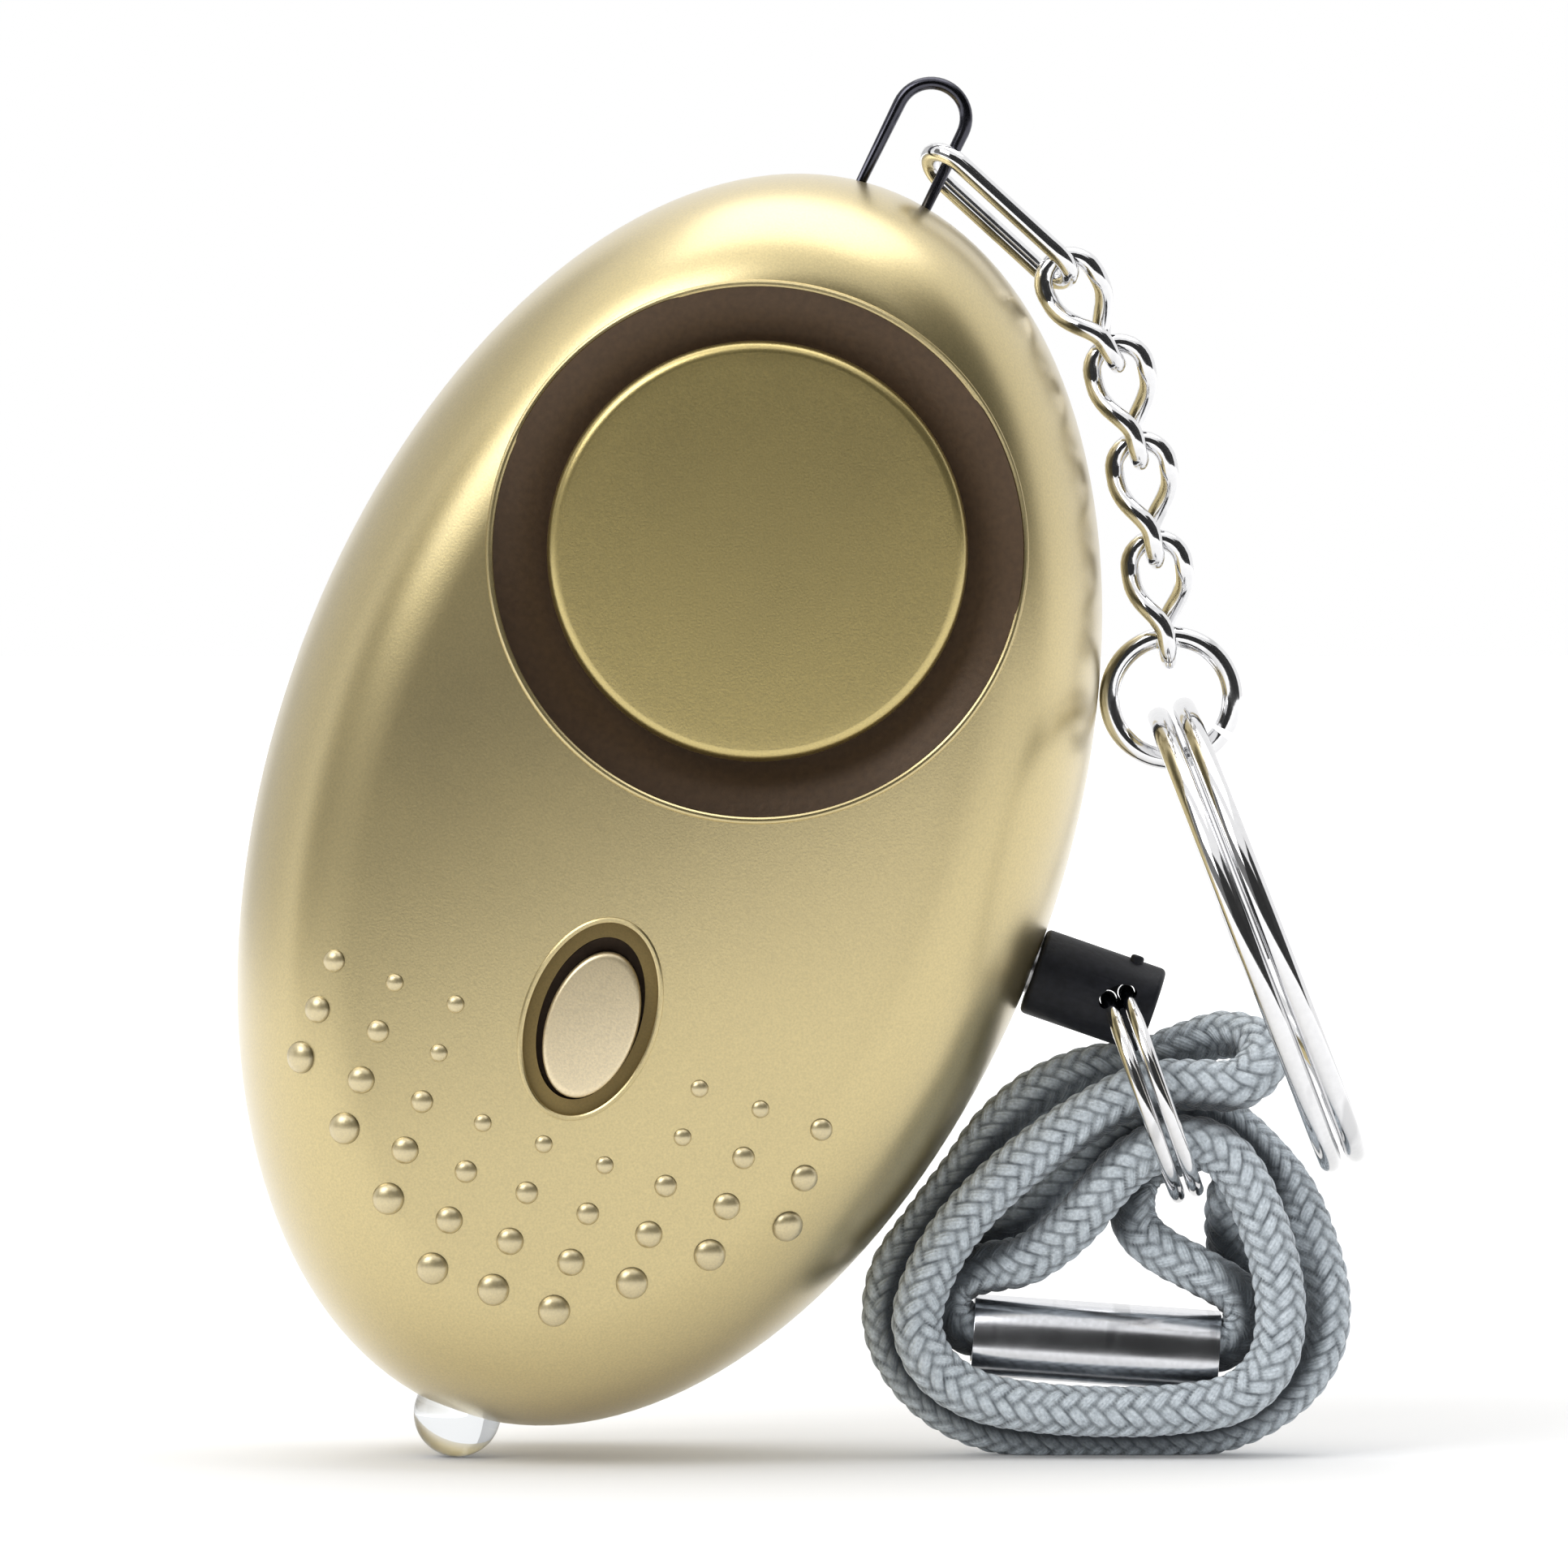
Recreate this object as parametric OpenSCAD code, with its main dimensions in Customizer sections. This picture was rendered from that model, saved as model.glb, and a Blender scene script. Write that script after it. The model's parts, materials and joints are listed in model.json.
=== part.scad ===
// Personal safety alarm: a leaning egg-shaped siren with a pull pin, a wrist strap and a key chain.
// Millimetres, +Z up, front towards -Y. The origin lies on the table, under the middle of the alarm.

/* [Housing] */
// Length of the egg along its long axis
body_l = 65; // [62:0.5:70]
// Width of the egg
body_w = 40; // [38:0.5:44]
// Depth of the front shell from the parting plane
front_d = 11; // [10.5:0.1:12.5]
// Depth of the rear shell from the parting plane
rear_d = 11; // [10.8:0.1:12.5]
// Wall of both shells
wall = 1.6; // [1.2:0.1:1.8]
// Width of the rounded edge of the front
front_edge = 6.5; // [5.5:0.1:7]
// Width of the rounded edge of the back
rear_edge = 7; // [6:0.1:8]
// Height of the gentle crown on the front
crown = 1.5; // [1:0.1:1.8]
// Lean of the long axis to the right of upright, in degrees
lean = 19.1; // [15:0.1:23]

/* [Sounder] */
// Distance of the sounder above the middle of the egg
sounder_u = 13.5; // [13:0.1:14]
// Diameter of the round opening in the front
opening_d = 26.6; // [25.5:0.1:27]
// Diameter of the round cap in the opening
cap_d = 20.9; // [19:0.1:21.5]
// Thickness of the cap at its rim
cap_rim = 1.1; // [0.8:0.1:1.4]
// Rise of the cap from its rim to its middle
cap_dome = 0.3; // [0.2:0.1:1]
// Distance of the cap's rim face in front of the parting plane
cap_front = 9.8; // [9.4:0.1:10.2]
// Diameter of the cap's stem
stem_d = 6; // [4:0.1:8]
// Distance of the recess floor in front of the parting plane
floor_front = 7.9; // [7.5:0.1:8.1]
// Thickness of the recess floor and walls of the resonator
cup_wall = 0.9; // [0.7:0.1:1.1]
// Wall of the collar that guides the resonator
collar_wall = 1.0; // [0.8:0.1:1.2]
// Distance of the collar's end in front of the parting plane
collar_end = 6.2; // [6:0.1:6.4]
// Diameter of the piezo plate
piezo_d = 23; // [20:0.1:23.4]
// Diameter of the ceramic on the piezo plate
ceramic_d = 15; // [10:0.5:18]
// Thickness of the piezo plate and of its ceramic
piezo_t = 0.25; // [0.2:0.05:0.4]

/* [Light button] */
// Distance of the button below the middle of the egg
button_u = 11.2; // [10.8:0.1:11.6]
// Length of the button along the egg
button_l = 7.7; // [7:0.1:8]
// Width of the button
button_w = 4.7; // [4:0.1:5]
// Width of the sunken rim around the button
button_rim = 1.15; // [0.8:0.05:1.3]
// Depth of the sunken rim
rim_depth = 0.7; // [0.4:0.05:0.8]
// Height of the button's face above the crown
button_proud = 0.15; // [0:0.05:0.4]
// Travel of the button
button_travel = 0.5; // [0.3:0.05:0.6]
// Width of the flange that keeps the button in
flange_w = 0.7; // [0.4:0.05:0.9]

/* [Grip beads] */
// Distance between the columns of beads
bead_column = 3.2; // [3:0.05:3.4]
// Distance between the rows of beads
bead_row = 2.57; // [2.3:0.01:2.6]
// Distance of the first row below the middle of the egg
bead_first = 13.1; // [12.6:0.1:13.4]
// Diameter of the smallest beads
bead_small = 0.9; // [0.7:0.05:1]
// Growth of the beads from step to step
bead_growth = 0.24; // [0.1:0.01:0.26]

/* [Lamp] */
// Diameter of the lamp's lens
lamp_d = 4.4; // [4:0.1:5]
// Distance of the lens dome's centre past the end of the egg
lamp_out = 0.1; // [0:0.1:0.6]
// Length of the lens inside the egg
lamp_in = 4.6; // [4:0.1:5]

/* [Pull pin] */
// Distance of the pin below the middle of the egg
pin_u = 2.1; // [1.9:0.1:2.4]
// Diameter of the pin
pin_d = 2.4; // [2:0.1:2.6]
// Length of the pin inside the egg, and its travel
pin_in = 6; // [5:0.1:6.2]
// Length of the pin inside the plug
pin_grip = 2.7; // [2:0.1:2.8]
// Diameter of the plug
plug_d = 4.4; // [4.2:0.1:4.8]
// Length of the plug
plug_l = 6.2; // [6:0.1:6.6]
// Diameter of the eye across the plug
eye_d = 2.6; // [2.5:0.05:2.7]
// Distance of the eye from the plug's outer end
eye_inset = 1.8; // [1.7:0.05:2]

/* [Key chain] */
// Wire of the staple on top of the egg
staple_wire = 0.65; // [0.5:0.05:0.7]
// Distance between the staple's legs
staple_w = 3.5; // [3.4:0.1:4]
// Straight height of the staple above the egg
staple_h = 4.1; // [3.8:0.1:4.6]
// Wire of the chain links
link_wire = 0.95; // [0.8:0.05:1]
// Distance from link to link
link_pitch = 5; // [4.8:0.1:5.4]
// Width of a link between the middles of its wires
link_w = 2.7; // [2.65:0.05:2.9]
// Length of the connector between its ends' wires
connector_pitch = 8.3; // [8:0.1:8.6]
// Roll of the connector about its length, in degrees
connector_roll = 28; // [15:1:30]
// Outside diameter of the jump ring
jump_d = 7.2; // [7.1:0.05:7.6]
// Wire of the jump ring
jump_wire = 1.05; // [0.9:0.05:1.05]
// Outside diameter of the key ring
key_d = 25; // [24:0.1:26]
// Wire of the key ring
key_wire = 1.2; // [1:0.05:1.2]

/* [Wrist strap] */
// Outside diameter of the split ring in the plug's eye
strap_ring_d = 11.3; // [11:0.1:11.6]
// Wire of that split ring
strap_ring_wire = 0.8; // [0.7:0.05:0.85]
// Thickness of the braided strap
strap_d = 2.4; // [2:0.1:2.45]
// Length of the metal ferrule
ferrule_l = 11.4; // [11:0.1:11.6]
// Height of the flattened ferrule
ferrule_d = 3.7; // [3.2:0.1:3.8]

/* [Inside] */
// Thickness of the circuit board
board_t = 1; // [0.8:0.1:1.2]
// Distance of the board's front face in front of the parting plane
board_front = 5; // [4.8:0.1:5.2]
// Diameter of a button cell
cell_d = 11.6; // [10:0.1:11.6]
// Height of a button cell
cell_h = 5.4; // [5:0.1:5.4]
// Number of button cells in the stack
cell_count = 3; // [3:1:3]
// Length of the battery spring
spring_l = 2.4; // [2:0.1:2.5]
// Diameter of the screws that close the egg
screw_d = 1.7; // [1.4:0.1:2]
// Diameter of the screw heads
screw_head = 3.2; // [3:0.1:3.4]
// Width of the circuit board
board_w = 30.8; // [30:0.1:31]
// Diameter of the chip's drop of resin
chip_d = 6; // [5:0.1:7]
// Height of the chip's drop of resin
chip_h = 1.3; // [1:0.1:1.6]
// Diameter of the transistor
transistor_d = 4.6; // [4:0.1:4.8]
// Height of the transistor
transistor_h = 4.4; // [4:0.1:4.8]
// Diameter of the inductor
inductor_d = 6; // [5:0.1:6.2]
// Height of the inductor
inductor_h = 6; // [5:0.1:6.2]
// Width of the switch under the button
switch_w = 6; // [5.5:0.1:6.2]
// Height of the switch under the button
switch_h = 1.9; // [1.8:0.1:2]
// Diameter of the plunger in the switch
plunger_d = 3; // [2.5:0.1:3.2]

/* [Fits] */
// Clearance round pieces that are pushed in and stay
seat_gap = 0.1; // [0.05:0.01:0.15]
// Clearance round pieces that move
slide_gap = 0.2; // [0.15:0.01:0.25]
// Clearance round the pull pin
pin_gap = 0.05; // [0.03:0.01:0.1]
// Clearance between linked wires
wire_gap = 0.2; // [0.15:0.01:0.25]
// Space between the two coils of a split ring
coil_gap = 0.45; // [0.42:0.01:0.5]

/* [Hidden] */
$fn = 48;

// Colours
gold = [0.72, 0.64, 0.42];
dark_brown = [0.24, 0.17, 0.11];
black = [0.12, 0.12, 0.14];
chrome = [0.80, 0.81, 0.83];
steel = [0.62, 0.63, 0.65];
brass = [0.78, 0.62, 0.30];
strap_grey = [0.60, 0.64, 0.68];
board_green = [0.13, 0.37, 0.22];

// Outline of the egg and where its parts stand
half_l = body_l / 2;
half_w = body_w / 2;
edge_stop = 84;
around = 60;
edge_steps = 7;
crown_steps = [0.85, 0.65, 0.42, 0.2];
cut_over = 1;
lamp_u = -half_l - lamp_out;
body_z = -lamp_u * cos(lean) + lamp_d / 2;

// The pull pin, whose axis runs across the egg, and the eye in its plug
plug_start = half_w * sqrt(1 - pow(pin_u / half_l, 2)) + slide_gap;
plug_end = plug_start + plug_l;
eye_v = plug_end - eye_inset;
pin_start = plug_start - pin_in;
pin_end = plug_start + pin_grip;
plug_edge = 0.2;

// The staple and the hanging angles of the chain, from upright, in degrees
staple_v = 0.7;
staple_lean = 7;
staple_root = 3;
hang_h = 2.2;
connector_angle = 47.6;
link_angles = [30, 13, 9, 7.5];
jump_angle = 3;
key_angle = 21.2;
strap_ring_angle = 19.5;

// The split rings
coil_sides = 6;
rings_a_turn = 24;
jog_from = 340;
jog_angle = 40;
key_mean = key_d - key_wire;
strap_ring_mean = strap_ring_d - strap_ring_wire;
jump_mean = jump_d - jump_wire;
key_seat = 0.8;
eye_rise = 0.24;

// Places on the egg (across, forward, along its axis) moved to the leaning pose around a middle
function turned(p, a) = [p[0] * cos(a) + p[2] * sin(a), p[1], p[2] * cos(a) - p[0] * sin(a)];
function hung(a) = [sin(a), 0, -cos(a)];
staple_leg = [
    staple_v + staple_w / 2 * cos(staple_lean) + hang_h * sin(staple_lean),
    0,
    half_l - staple_w / 2 * sin(staple_lean) + hang_h * cos(staple_lean)
];

// Pivots of the chain relative to the middle of the egg
rel_0 = turned(staple_leg, lean);
rel_1 = rel_0 + connector_pitch * hung(connector_angle);
rel_2 = rel_1 + link_pitch * hung(link_angles[0]);
rel_3 = rel_2 + link_pitch * hung(link_angles[1]);
rel_4 = rel_3 + link_pitch * hung(link_angles[2]);
rel_5 = rel_4 + link_pitch * hung(link_angles[3]);
jump_drop = (jump_mean - jump_wire - link_wire) / 2 - wire_gap;
rel_jump = rel_5 + jump_drop * hung(jump_angle);
rel_6 = rel_jump + key_seat * hung(jump_angle);
rel_key = rel_6 + key_mean / 2 * hung(key_angle);

// The origin is under the middle of the box round the egg and the key ring
reach_left = norm([half_l * sin(lean), half_w * cos(lean)]);
key_half = key_wire + coil_gap / 2;
reach_right = rel_key[0] + key_d / 2 * sin(key_angle) + key_half * cos(key_angle);
middle = [(reach_left - reach_right) / 2, 0, body_z];
eye = middle + turned([eye_v, 0, -pin_u], lean);

// Route of the strap: from the ferrule round the roll, back at the fold and round again,
// then through the ferrule, over the small ring and into the ferrule once more
ferrule_middle = [14.6, 2.35, 5.8];
ferrule_tilt = 4;
strand_step = 2.9;
strap_route = [
    [13.2, 0.9, 5.9], [10, 0.9, 6.1], [8.8, 0.9, 6.2], [7.7, 0.9, 6.6], [7.1, 0.9, 7.6],
    [7.4, 0.9, 8.7], [8.4, 0.7, 9.3], [9.7, 0.5, 9.6], [11, 0.1, 9.9], [12.4, -0.3, 10.8],
    [13.7, -0.8, 12], [14.8, -1.2, 13.4], [16, -1.5, 14.7], [17.2, -1.8, 15.5], [18.5, -2, 16],
    [20.2, -1.9, 15.8], [21.6, -1.8, 14.6], [22.7, -1.7, 12.4], [23.5, -1.6, 9.8],
    [23.8, -1.6, 7.2], [23.3, -1.6, 4.8], [21.5, -1.6, 3.1], [18.4, -1.6, 2.5],
    [15, -1.6, 2.4], [11.6, -1.6, 2.6], [8.6, -1.6, 3.2], [6.5, -1.6, 4.6], [5.6, -1.6, 6.7],
    [6.1, -1.6, 9], [7.5, -1.6, 11.5], [9.7, -1.6, 13.9], [12.3, -1.6, 16], [14.8, -1.6, 17.6],
    [17.2, -1.6, 18.7], [19.6, -1.6, 18.8], [21.6, -1.4, 18.8], [22.9, -0.6, 19.8],
    [22.6, 0.8, 20.8], [21, 1.9, 21.1], [19, 2.2, 20.5], [17, 2.5, 19.7], [14.2, 2.3, 19.3],
    [11.6, 1.9, 18.2], [9.5, 1.7, 16.4], [8, 1.6, 14.3], [6.2, 1.6, 11.9], [4.4, 1.6, 9.2],
    [4.1, 1.6, 6.4], [5.3, 1.6, 3.9], [7.6, 1.6, 2], [10.9, 1.6, 1], [14.6, 1.6, 0.96],
    [18.6, 1.6, 0.96], [21.8, 1.6, 1.6], [24.4, 1.6, 3.2], [25.9, 1.6, 5.4], [26.2, 1.8, 8],
    [25.5, 2.7, 10.9], [24.4, 4, 13.3], [22.5, 4.5, 15.5], [20.9, 4.2, 16.8], [19.4, 3.3, 17.4],
    [18, 3, 17], [16.8, 3.1, 16.7], [15, 3.1, 15.8], [13.3, 3.1, 14.4], [11.8, 3.1, 13],
    [10.2, 3.3, 11.6], [8.5, 3.6, 10.2], [7.4, 3.8, 8.8], [7.1, 3.8, 7.6], [7.7, 3.8, 6.6],
    [8.8, 3.8, 6.2], [10, 3.8, 6.1], [12.3, 3.8, 6], [14.6, 3.8, 5.8], [17, 3.8, 5.6],
    [19.2, 3.8, 5.5], [20.4, 3.8, 5.4],
    [21.6, 3.8, 5.7], [22.3, 3.8, 6.7], [22.1, 3.6, 8.5], [21.4, 3.2, 10.4], [21.3, 2.5, 12.5],
    [21.6, 1.7, 14.3], [20.4, 1.1, 15.5], [18.5, 0.8, 15.2], [16.9, 1.2, 14.3], [16.4, 1.2, 12.8],
    [16.7, 1.2, 11.4], [17.9, 0.9, 10.3], [19.8, 0.6, 9.3], [21.6, 0.7, 8.2], [22.2, 0.8, 7],
    [21.7, 0.9, 5.9], [20.5, 0.9, 5.4], [19.2, 0.9, 5.5], [16, 0.9, 5.7]
];
route_steps = 2;
strap_sides = 6;
strap_skip = 8;

// The board, the battery bay and the places of the parts on the board
lamp_top = lamp_u + lamp_in;
screw_v = 10.6;
screw_u = -13;
screw_land = 2.4;
lead_rise = 3;
lead_edge = 0.5;
lead_clear = 0.8;
board_half = board_w / 2;
board_clear = 0.9;
board_top = sounder_u - opening_d / 2 + seat_gap - collar_wall - board_clear;
board_end = lamp_top + lead_rise - lead_edge;
board_side = [
    [board_half, board_top], [board_half, board_top - 0.35 * board_half],
    [screw_v + screw_land, screw_u - screw_land],
    [0.65 * board_half, board_end + 0.39 * board_half], [0.325 * board_half, board_end]
];
board_outline = concat(
    board_side,
    [for (i = [len(board_side) - 1 : -1 : 0]) [-board_side[i][0], board_side[i][1]]]
);
board_back = board_front - board_t;
part_v = 10.2;
inductor_u = -5.4;
transistor_u = -7.4;
chip_v = -6;
chip_u = -18;
post_d = 3;
boss_d = 4.6;
head_sunk = 1.6;
head_t = 1.2;
cross_w = 0.4;
tray_t = 0.6;
tray_wall = 1;
tray_side = 1.2;
tray_above = 2;
plate_t = 0.4;
bay_back = rear_d - wall;
cell_y = bay_back - tray_t - seat_gap - cell_d / 2;
stack_l = cell_count * cell_h;
bay_end = lamp_top + lead_rise + lead_clear;
spring_end = bay_end + tray_wall + seat_gap;
stack_bottom = spring_end + spring_l;
stack_top = stack_bottom + stack_l;
bay_top = stack_top + plate_t + tray_wall + seat_gap;

// Sections and sweeps
function unit(p) = p / norm(p);
function square_to(n, t) = unit(n - (n * t) * t);
function tangents(path) = [
    for (i = [0 : len(path) - 1])
        unit(path[min(i + 1, len(path) - 1)] - path[max(i - 1, 0)])
];
function loop_tangents(path) = [
    for (i = [0 : len(path) - 1])
        unit(path[(i + 1) % len(path)] - path[(i + len(path) - 1) % len(path)])
];
function carried(t, first) = [
    for (
        i = 0, n = square_to(first, t[0]);
        i < len(t);
        n = square_to(n, t[min(i + 1, len(t) - 1)]), i = i + 1
    )
        n
];
function tube_points(path, t, normals, r, sides) = [
    for (i = [0 : len(path) - 1])
        let (n = square_to(normals[i], t[i]), b = cross(t[i], n))
            for (k = [0 : sides - 1])
                path[i] + r * (cos(360 * k / sides) * n + sin(360 * k / sides) * b)
];
function skin_faces(rings, sides, last) = [
    for (i = [0 : last - 1])
        for (k = [0 : sides - 1])
            let (a = i * sides, b = ((i + 1) % rings) * sides, q = (k + 1) % sides)
                each [[a + k, b + k, b + q], [a + k, b + q, a + q]]
];
function end_faces(rings, sides) = [
    [for (k = [0 : sides - 1]) k],
    [for (k = [sides - 1 : -1 : 0]) (rings - 1) * sides + k]
];

module open_tube(path, first, r, sides) {
    t = tangents(path);
    polyhedron(
        tube_points(path, t, carried(t, first), r, sides),
        concat(skin_faces(len(path), sides, len(path) - 1), end_faces(len(path), sides))
    );
}

module closed_tube(path, normals, r, sides) {
    polyhedron(
        tube_points(path, loop_tangents(path), normals, r, sides),
        skin_faces(len(path), sides, len(path))
    );
}

// A smooth curve through the points of a route
function between(a, b, c, d, s) =
    0.5 * (2 * b + (c - a) * s + (2 * a - 5 * b + 4 * c - d) * s * s
        + (3 * b - a - 3 * c + d) * s * s * s);
function smooth_route(p, steps) = [
    for (i = [0 : len(p) - 2])
        for (s = [0 : steps - 1])
            between(p[max(i - 1, 0)], p[i], p[i + 1], p[min(i + 2, len(p) - 1)], s / steps),
    p[len(p) - 1]
];
function route_length(p) =
    [for (i = [1 : len(p) - 1]) norm(p[i] - p[i - 1])] * [for (i = [1 : len(p) - 1]) 1];
function least_gap(p, skip, d) = min([
    for (i = [0 : len(p) - 1 - skip])
        for (j = [i + skip : len(p) - 1])
            norm(p[i] - p[j]) - d
]);

// Levels of the egg, each as half length, half width and depth, shrunk inwards by a wall
function front_levels(in) =
    let (l = half_l - in, w = half_w - in, e = front_edge - in, top = front_d - in - crown)
        concat(
            [
                for (i = [0 : edge_steps])
                    let (a = edge_stop * i / edge_steps, d = e * (1 - cos(a)) / (1 - cos(edge_stop)))
                        [l - d, w - d, top * sin(a) / sin(edge_stop)]
            ],
            [for (s = crown_steps) [(l - e) * s, (w - e) * s, top + crown * (1 - s * s)]]
        );
function rear_levels(in) =
    let (l = half_l - in, w = half_w - in, e = rear_edge - in, top = rear_d - in)
        [
            for (i = [0 : edge_steps])
                let (a = 90 * i / edge_steps, d = e * (1 - cos(a)))
                    [l - d, w - d, top * sin(a)]
        ];
function ellipse(l, w, n) = [for (i = [0 : n - 1]) [w * cos(360 * i / n), l * sin(360 * i / n)]];

// A dome from its levels, standing on the parting plane with a foot below it
module dome(levels, foot) {
    rings = concat([[levels[0][0], levels[0][1], -foot]], levels);
    used = foot > 0 ? rings : levels;
    points = [
        for (g = used)
            for (p = ellipse(g[0], g[1], around))
                [p[0], p[1], g[2]]
    ];
    polyhedron(points, concat(skin_faces(len(used), around, len(used) - 1), end_faces(len(used), around)));
}

// Depth of the front at a place on it: the inset of that place gives its height on the rounded edge
function inset_at(u, v, low, high, n) =
    let (d = (low + high) / 2)
        n == 0 ? d :
        pow(u / (half_l - d), 2) + pow(v / (half_w - d), 2) < 1
            ? inset_at(u, v, d, high, n - 1)
            : inset_at(u, v, low, d, n - 1);
function front_depth(u, v) =
    let (top = front_d - crown, s = norm([u / (half_l - front_edge), v / (half_w - front_edge)]))
        s <= 1
            ? top + crown * (1 - s * s)
            : top / sin(edge_stop)
                * sin(acos(1 - inset_at(u, v, 0, front_edge, 16) / front_edge * (1 - cos(edge_stop))));

// Frames: the leaning egg, its front seen face on, and pieces that lie across it
module posed() {
    translate(middle) rotate([0, lean, 0]) children();
}
module facing() {
    posed() rotate([90, 0, 0]) children();
}
module backing() {
    posed() rotate([-90, 0, 0]) children();
}
module across() {
    posed() translate([0, 0, -pin_u]) rotate([0, 90, 0]) children();
}

// Cuts that both shells share along the parting plane
module pin_hole() {
    across() translate([0, 0, half_w - 2 * wall]) cylinder(d = pin_d + 2 * pin_gap, h = 3 * wall);
}
module lamp_hole() {
    posed() translate([0, 0, lamp_u - cut_over]) cylinder(d = lamp_d + 2 * seat_gap, h = lamp_in);
}
module staple_path(d) {
    posed() translate([staple_v, 0, half_l]) rotate([0, staple_lean, 0])
        for (side = [-1, 1])
            translate([side * staple_w / 2, 0, -staple_root])
                cylinder(d = d, h = staple_root + cut_over);
}
module shell_cuts() {
    pin_hole();
    lamp_hole();
    staple_path(staple_wire + 2 * pin_gap);
}

// Bosses for the screws, and what they are bored to
module at_screws() {
    for (side = [-1, 1]) translate([side * screw_v, screw_u, 0]) children();
}

button_skin = front_depth(button_u, 0);
rim_floor = button_skin - rim_depth;
button_face = button_skin + button_proud;
flange_t = 0.6;
flange_front = front_depth(button_u + button_l / 2 + flange_w, 0) - wall - slide_gap;
flange_back = flange_front - flange_t;
switch_top = board_front + switch_h;
switch_floor = 0.3;

module oval(l, w, from, to) {
    translate([0, -button_u, from])
        linear_extrude(to - from) polygon(ellipse(l / 2, w / 2, 40));
}

module beads() {
    for (row = [0 : 5])
        for (column = [-4 : 4])
            let (k = abs(column), reach = row < 2 ? 4 : 6 - row, n = max(row - 2, k + row - 3, 0))
                if (k <= reach && (row > 1 || k > 1))
                    let (v = column * bead_column, u = -bead_first - row * bead_row)
                        translate([v, u, front_depth(u, v)])
                            sphere(d = bead_small + bead_growth * n, $fn = 16);
}

module front_shell() {
    color(gold) difference() {
        facing() {
            difference() {
                union() {
                    dome(front_levels(0), 0);
                    beads();
                }
                dome(front_levels(wall), cut_over);
                translate([0, sounder_u, collar_end]) cylinder(d = opening_d, h = front_d);
                oval(button_l + 2 * slide_gap, button_w + 2 * slide_gap, board_front, front_d + cut_over);
                oval(button_l + 2 * button_rim, button_w + 2 * button_rim, rim_floor, front_d + cut_over);
            }
            intersection() {
                dome(front_levels(wall / 2), 0);
                union() {
                    translate([0, sounder_u, collar_end]) difference() {
                        cylinder(d = opening_d + 2 * collar_wall, h = front_d);
                        translate([0, 0, -cut_over]) cylinder(d = opening_d, h = front_d + 2 * cut_over);
                    }
                    at_screws() difference() {
                        union() {
                            cylinder(d = post_d, h = front_d);
                            translate([0, 0, board_front]) cylinder(d = boss_d, h = front_d);
                        }
                        translate([0, 0, -cut_over]) cylinder(d = screw_d, h = board_front + cut_over);
                    }
                }
            }
        }
        shell_cuts();
    }
}

module rear_shell() {
    color(gold) difference() {
        backing() {
            difference() {
                dome(rear_levels(0), 0);
                dome(rear_levels(wall), cut_over);
                mirror([0, 1, 0]) at_screws() rear_screw_cut();
            }
            intersection() {
                dome(rear_levels(wall / 2), 0);
                mirror([0, 1, 0]) at_screws() difference() {
                    cylinder(d = boss_d, h = rear_d);
                    rear_screw_cut();
                }
            }
        }
        shell_cuts();
    }
}

module rear_screw_cut() {
    translate([0, 0, -cut_over]) cylinder(d = screw_d + 2 * seat_gap, h = rear_d + 2 * cut_over);
    translate([0, 0, rear_d - head_sunk]) cylinder(d = screw_head + 2 * seat_gap, h = rear_d);
}

module case_screws() {
    color(steel) backing() mirror([0, 1, 0]) at_screws() {
        difference() {
            translate([0, 0, rear_d - head_sunk]) cylinder(d = screw_head, h = head_t);
            for (a = [0, 90])
                rotate(a) translate([0, 0, rear_d - head_sunk + head_t])
                    cube([0.7 * screw_head, cross_w, head_t], center = true);
        }
        translate([0, 0, -board_back])
            cylinder(d = screw_d - 2 * seat_gap, h = rear_d - head_sunk + board_back);
    }
}

// The sounder behind the round opening
ledge_w = 1;
ledge_t = 0.8;
cup_lip = 0.5;
cup_rim = 1;
slot_w = 3;
piezo_front = collar_end - ledge_t;

// The cup's foot is kept inside the wall of the front
module resonator_cup() {
    outer = opening_d / 2 - seat_gap;
    back = piezo_front - ledge_t;
    seat = piezo_d / 2 + seat_gap;
    hub = stem_d / 2 + seat_gap;
    color(dark_brown) facing() intersection() {
        translate([0, sounder_u, 0]) difference() {
            rotate_extrude() polygon([
                [hub, floor_front + cup_lip], [hub, floor_front - cup_wall],
                [seat - ledge_w, floor_front - cup_wall], [seat - ledge_w, piezo_front],
                [seat, piezo_front], [seat, back],
                [outer + collar_wall, back], [outer + collar_wall, collar_end], [outer, collar_end],
                [outer, floor_front + cup_rim], [outer - cup_wall, floor_front + cup_rim],
                [outer - cup_wall, floor_front], [hub + cup_wall, floor_front],
                [hub + cup_wall, floor_front + cup_lip]
            ]);
            for (a = [0, 120, 240])
                rotate([0, 0, a]) translate([0, 0, floor_front - cup_wall - cut_over])
                    rotate_extrude(angle = 80)
                        translate([hub + 2 * cup_wall, 0]) square([slot_w, slot_w]);
        }
        union() {
            dome(front_levels(wall + seat_gap), 0);
            translate([0, sounder_u, collar_end]) cylinder(d = opening_d, h = front_d);
        }
    }
}

module sounder_cap() {
    r = cap_d / 2;
    dome_r = (r * r + cap_dome * cap_dome) / (2 * cap_dome);
    color(gold) facing() translate([0, sounder_u, 0]) {
        intersection() {
            translate([0, 0, cap_front - cap_rim]) cylinder(r = r, h = front_d);
            translate([0, 0, cap_front + cap_dome - dome_r]) sphere(r = dome_r, $fn = 200);
        }
        translate([0, 0, floor_front - cup_wall])
            cylinder(d = stem_d, h = cap_front - cap_rim - floor_front + cup_wall + cap_rim / 2);
    }
}

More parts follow.
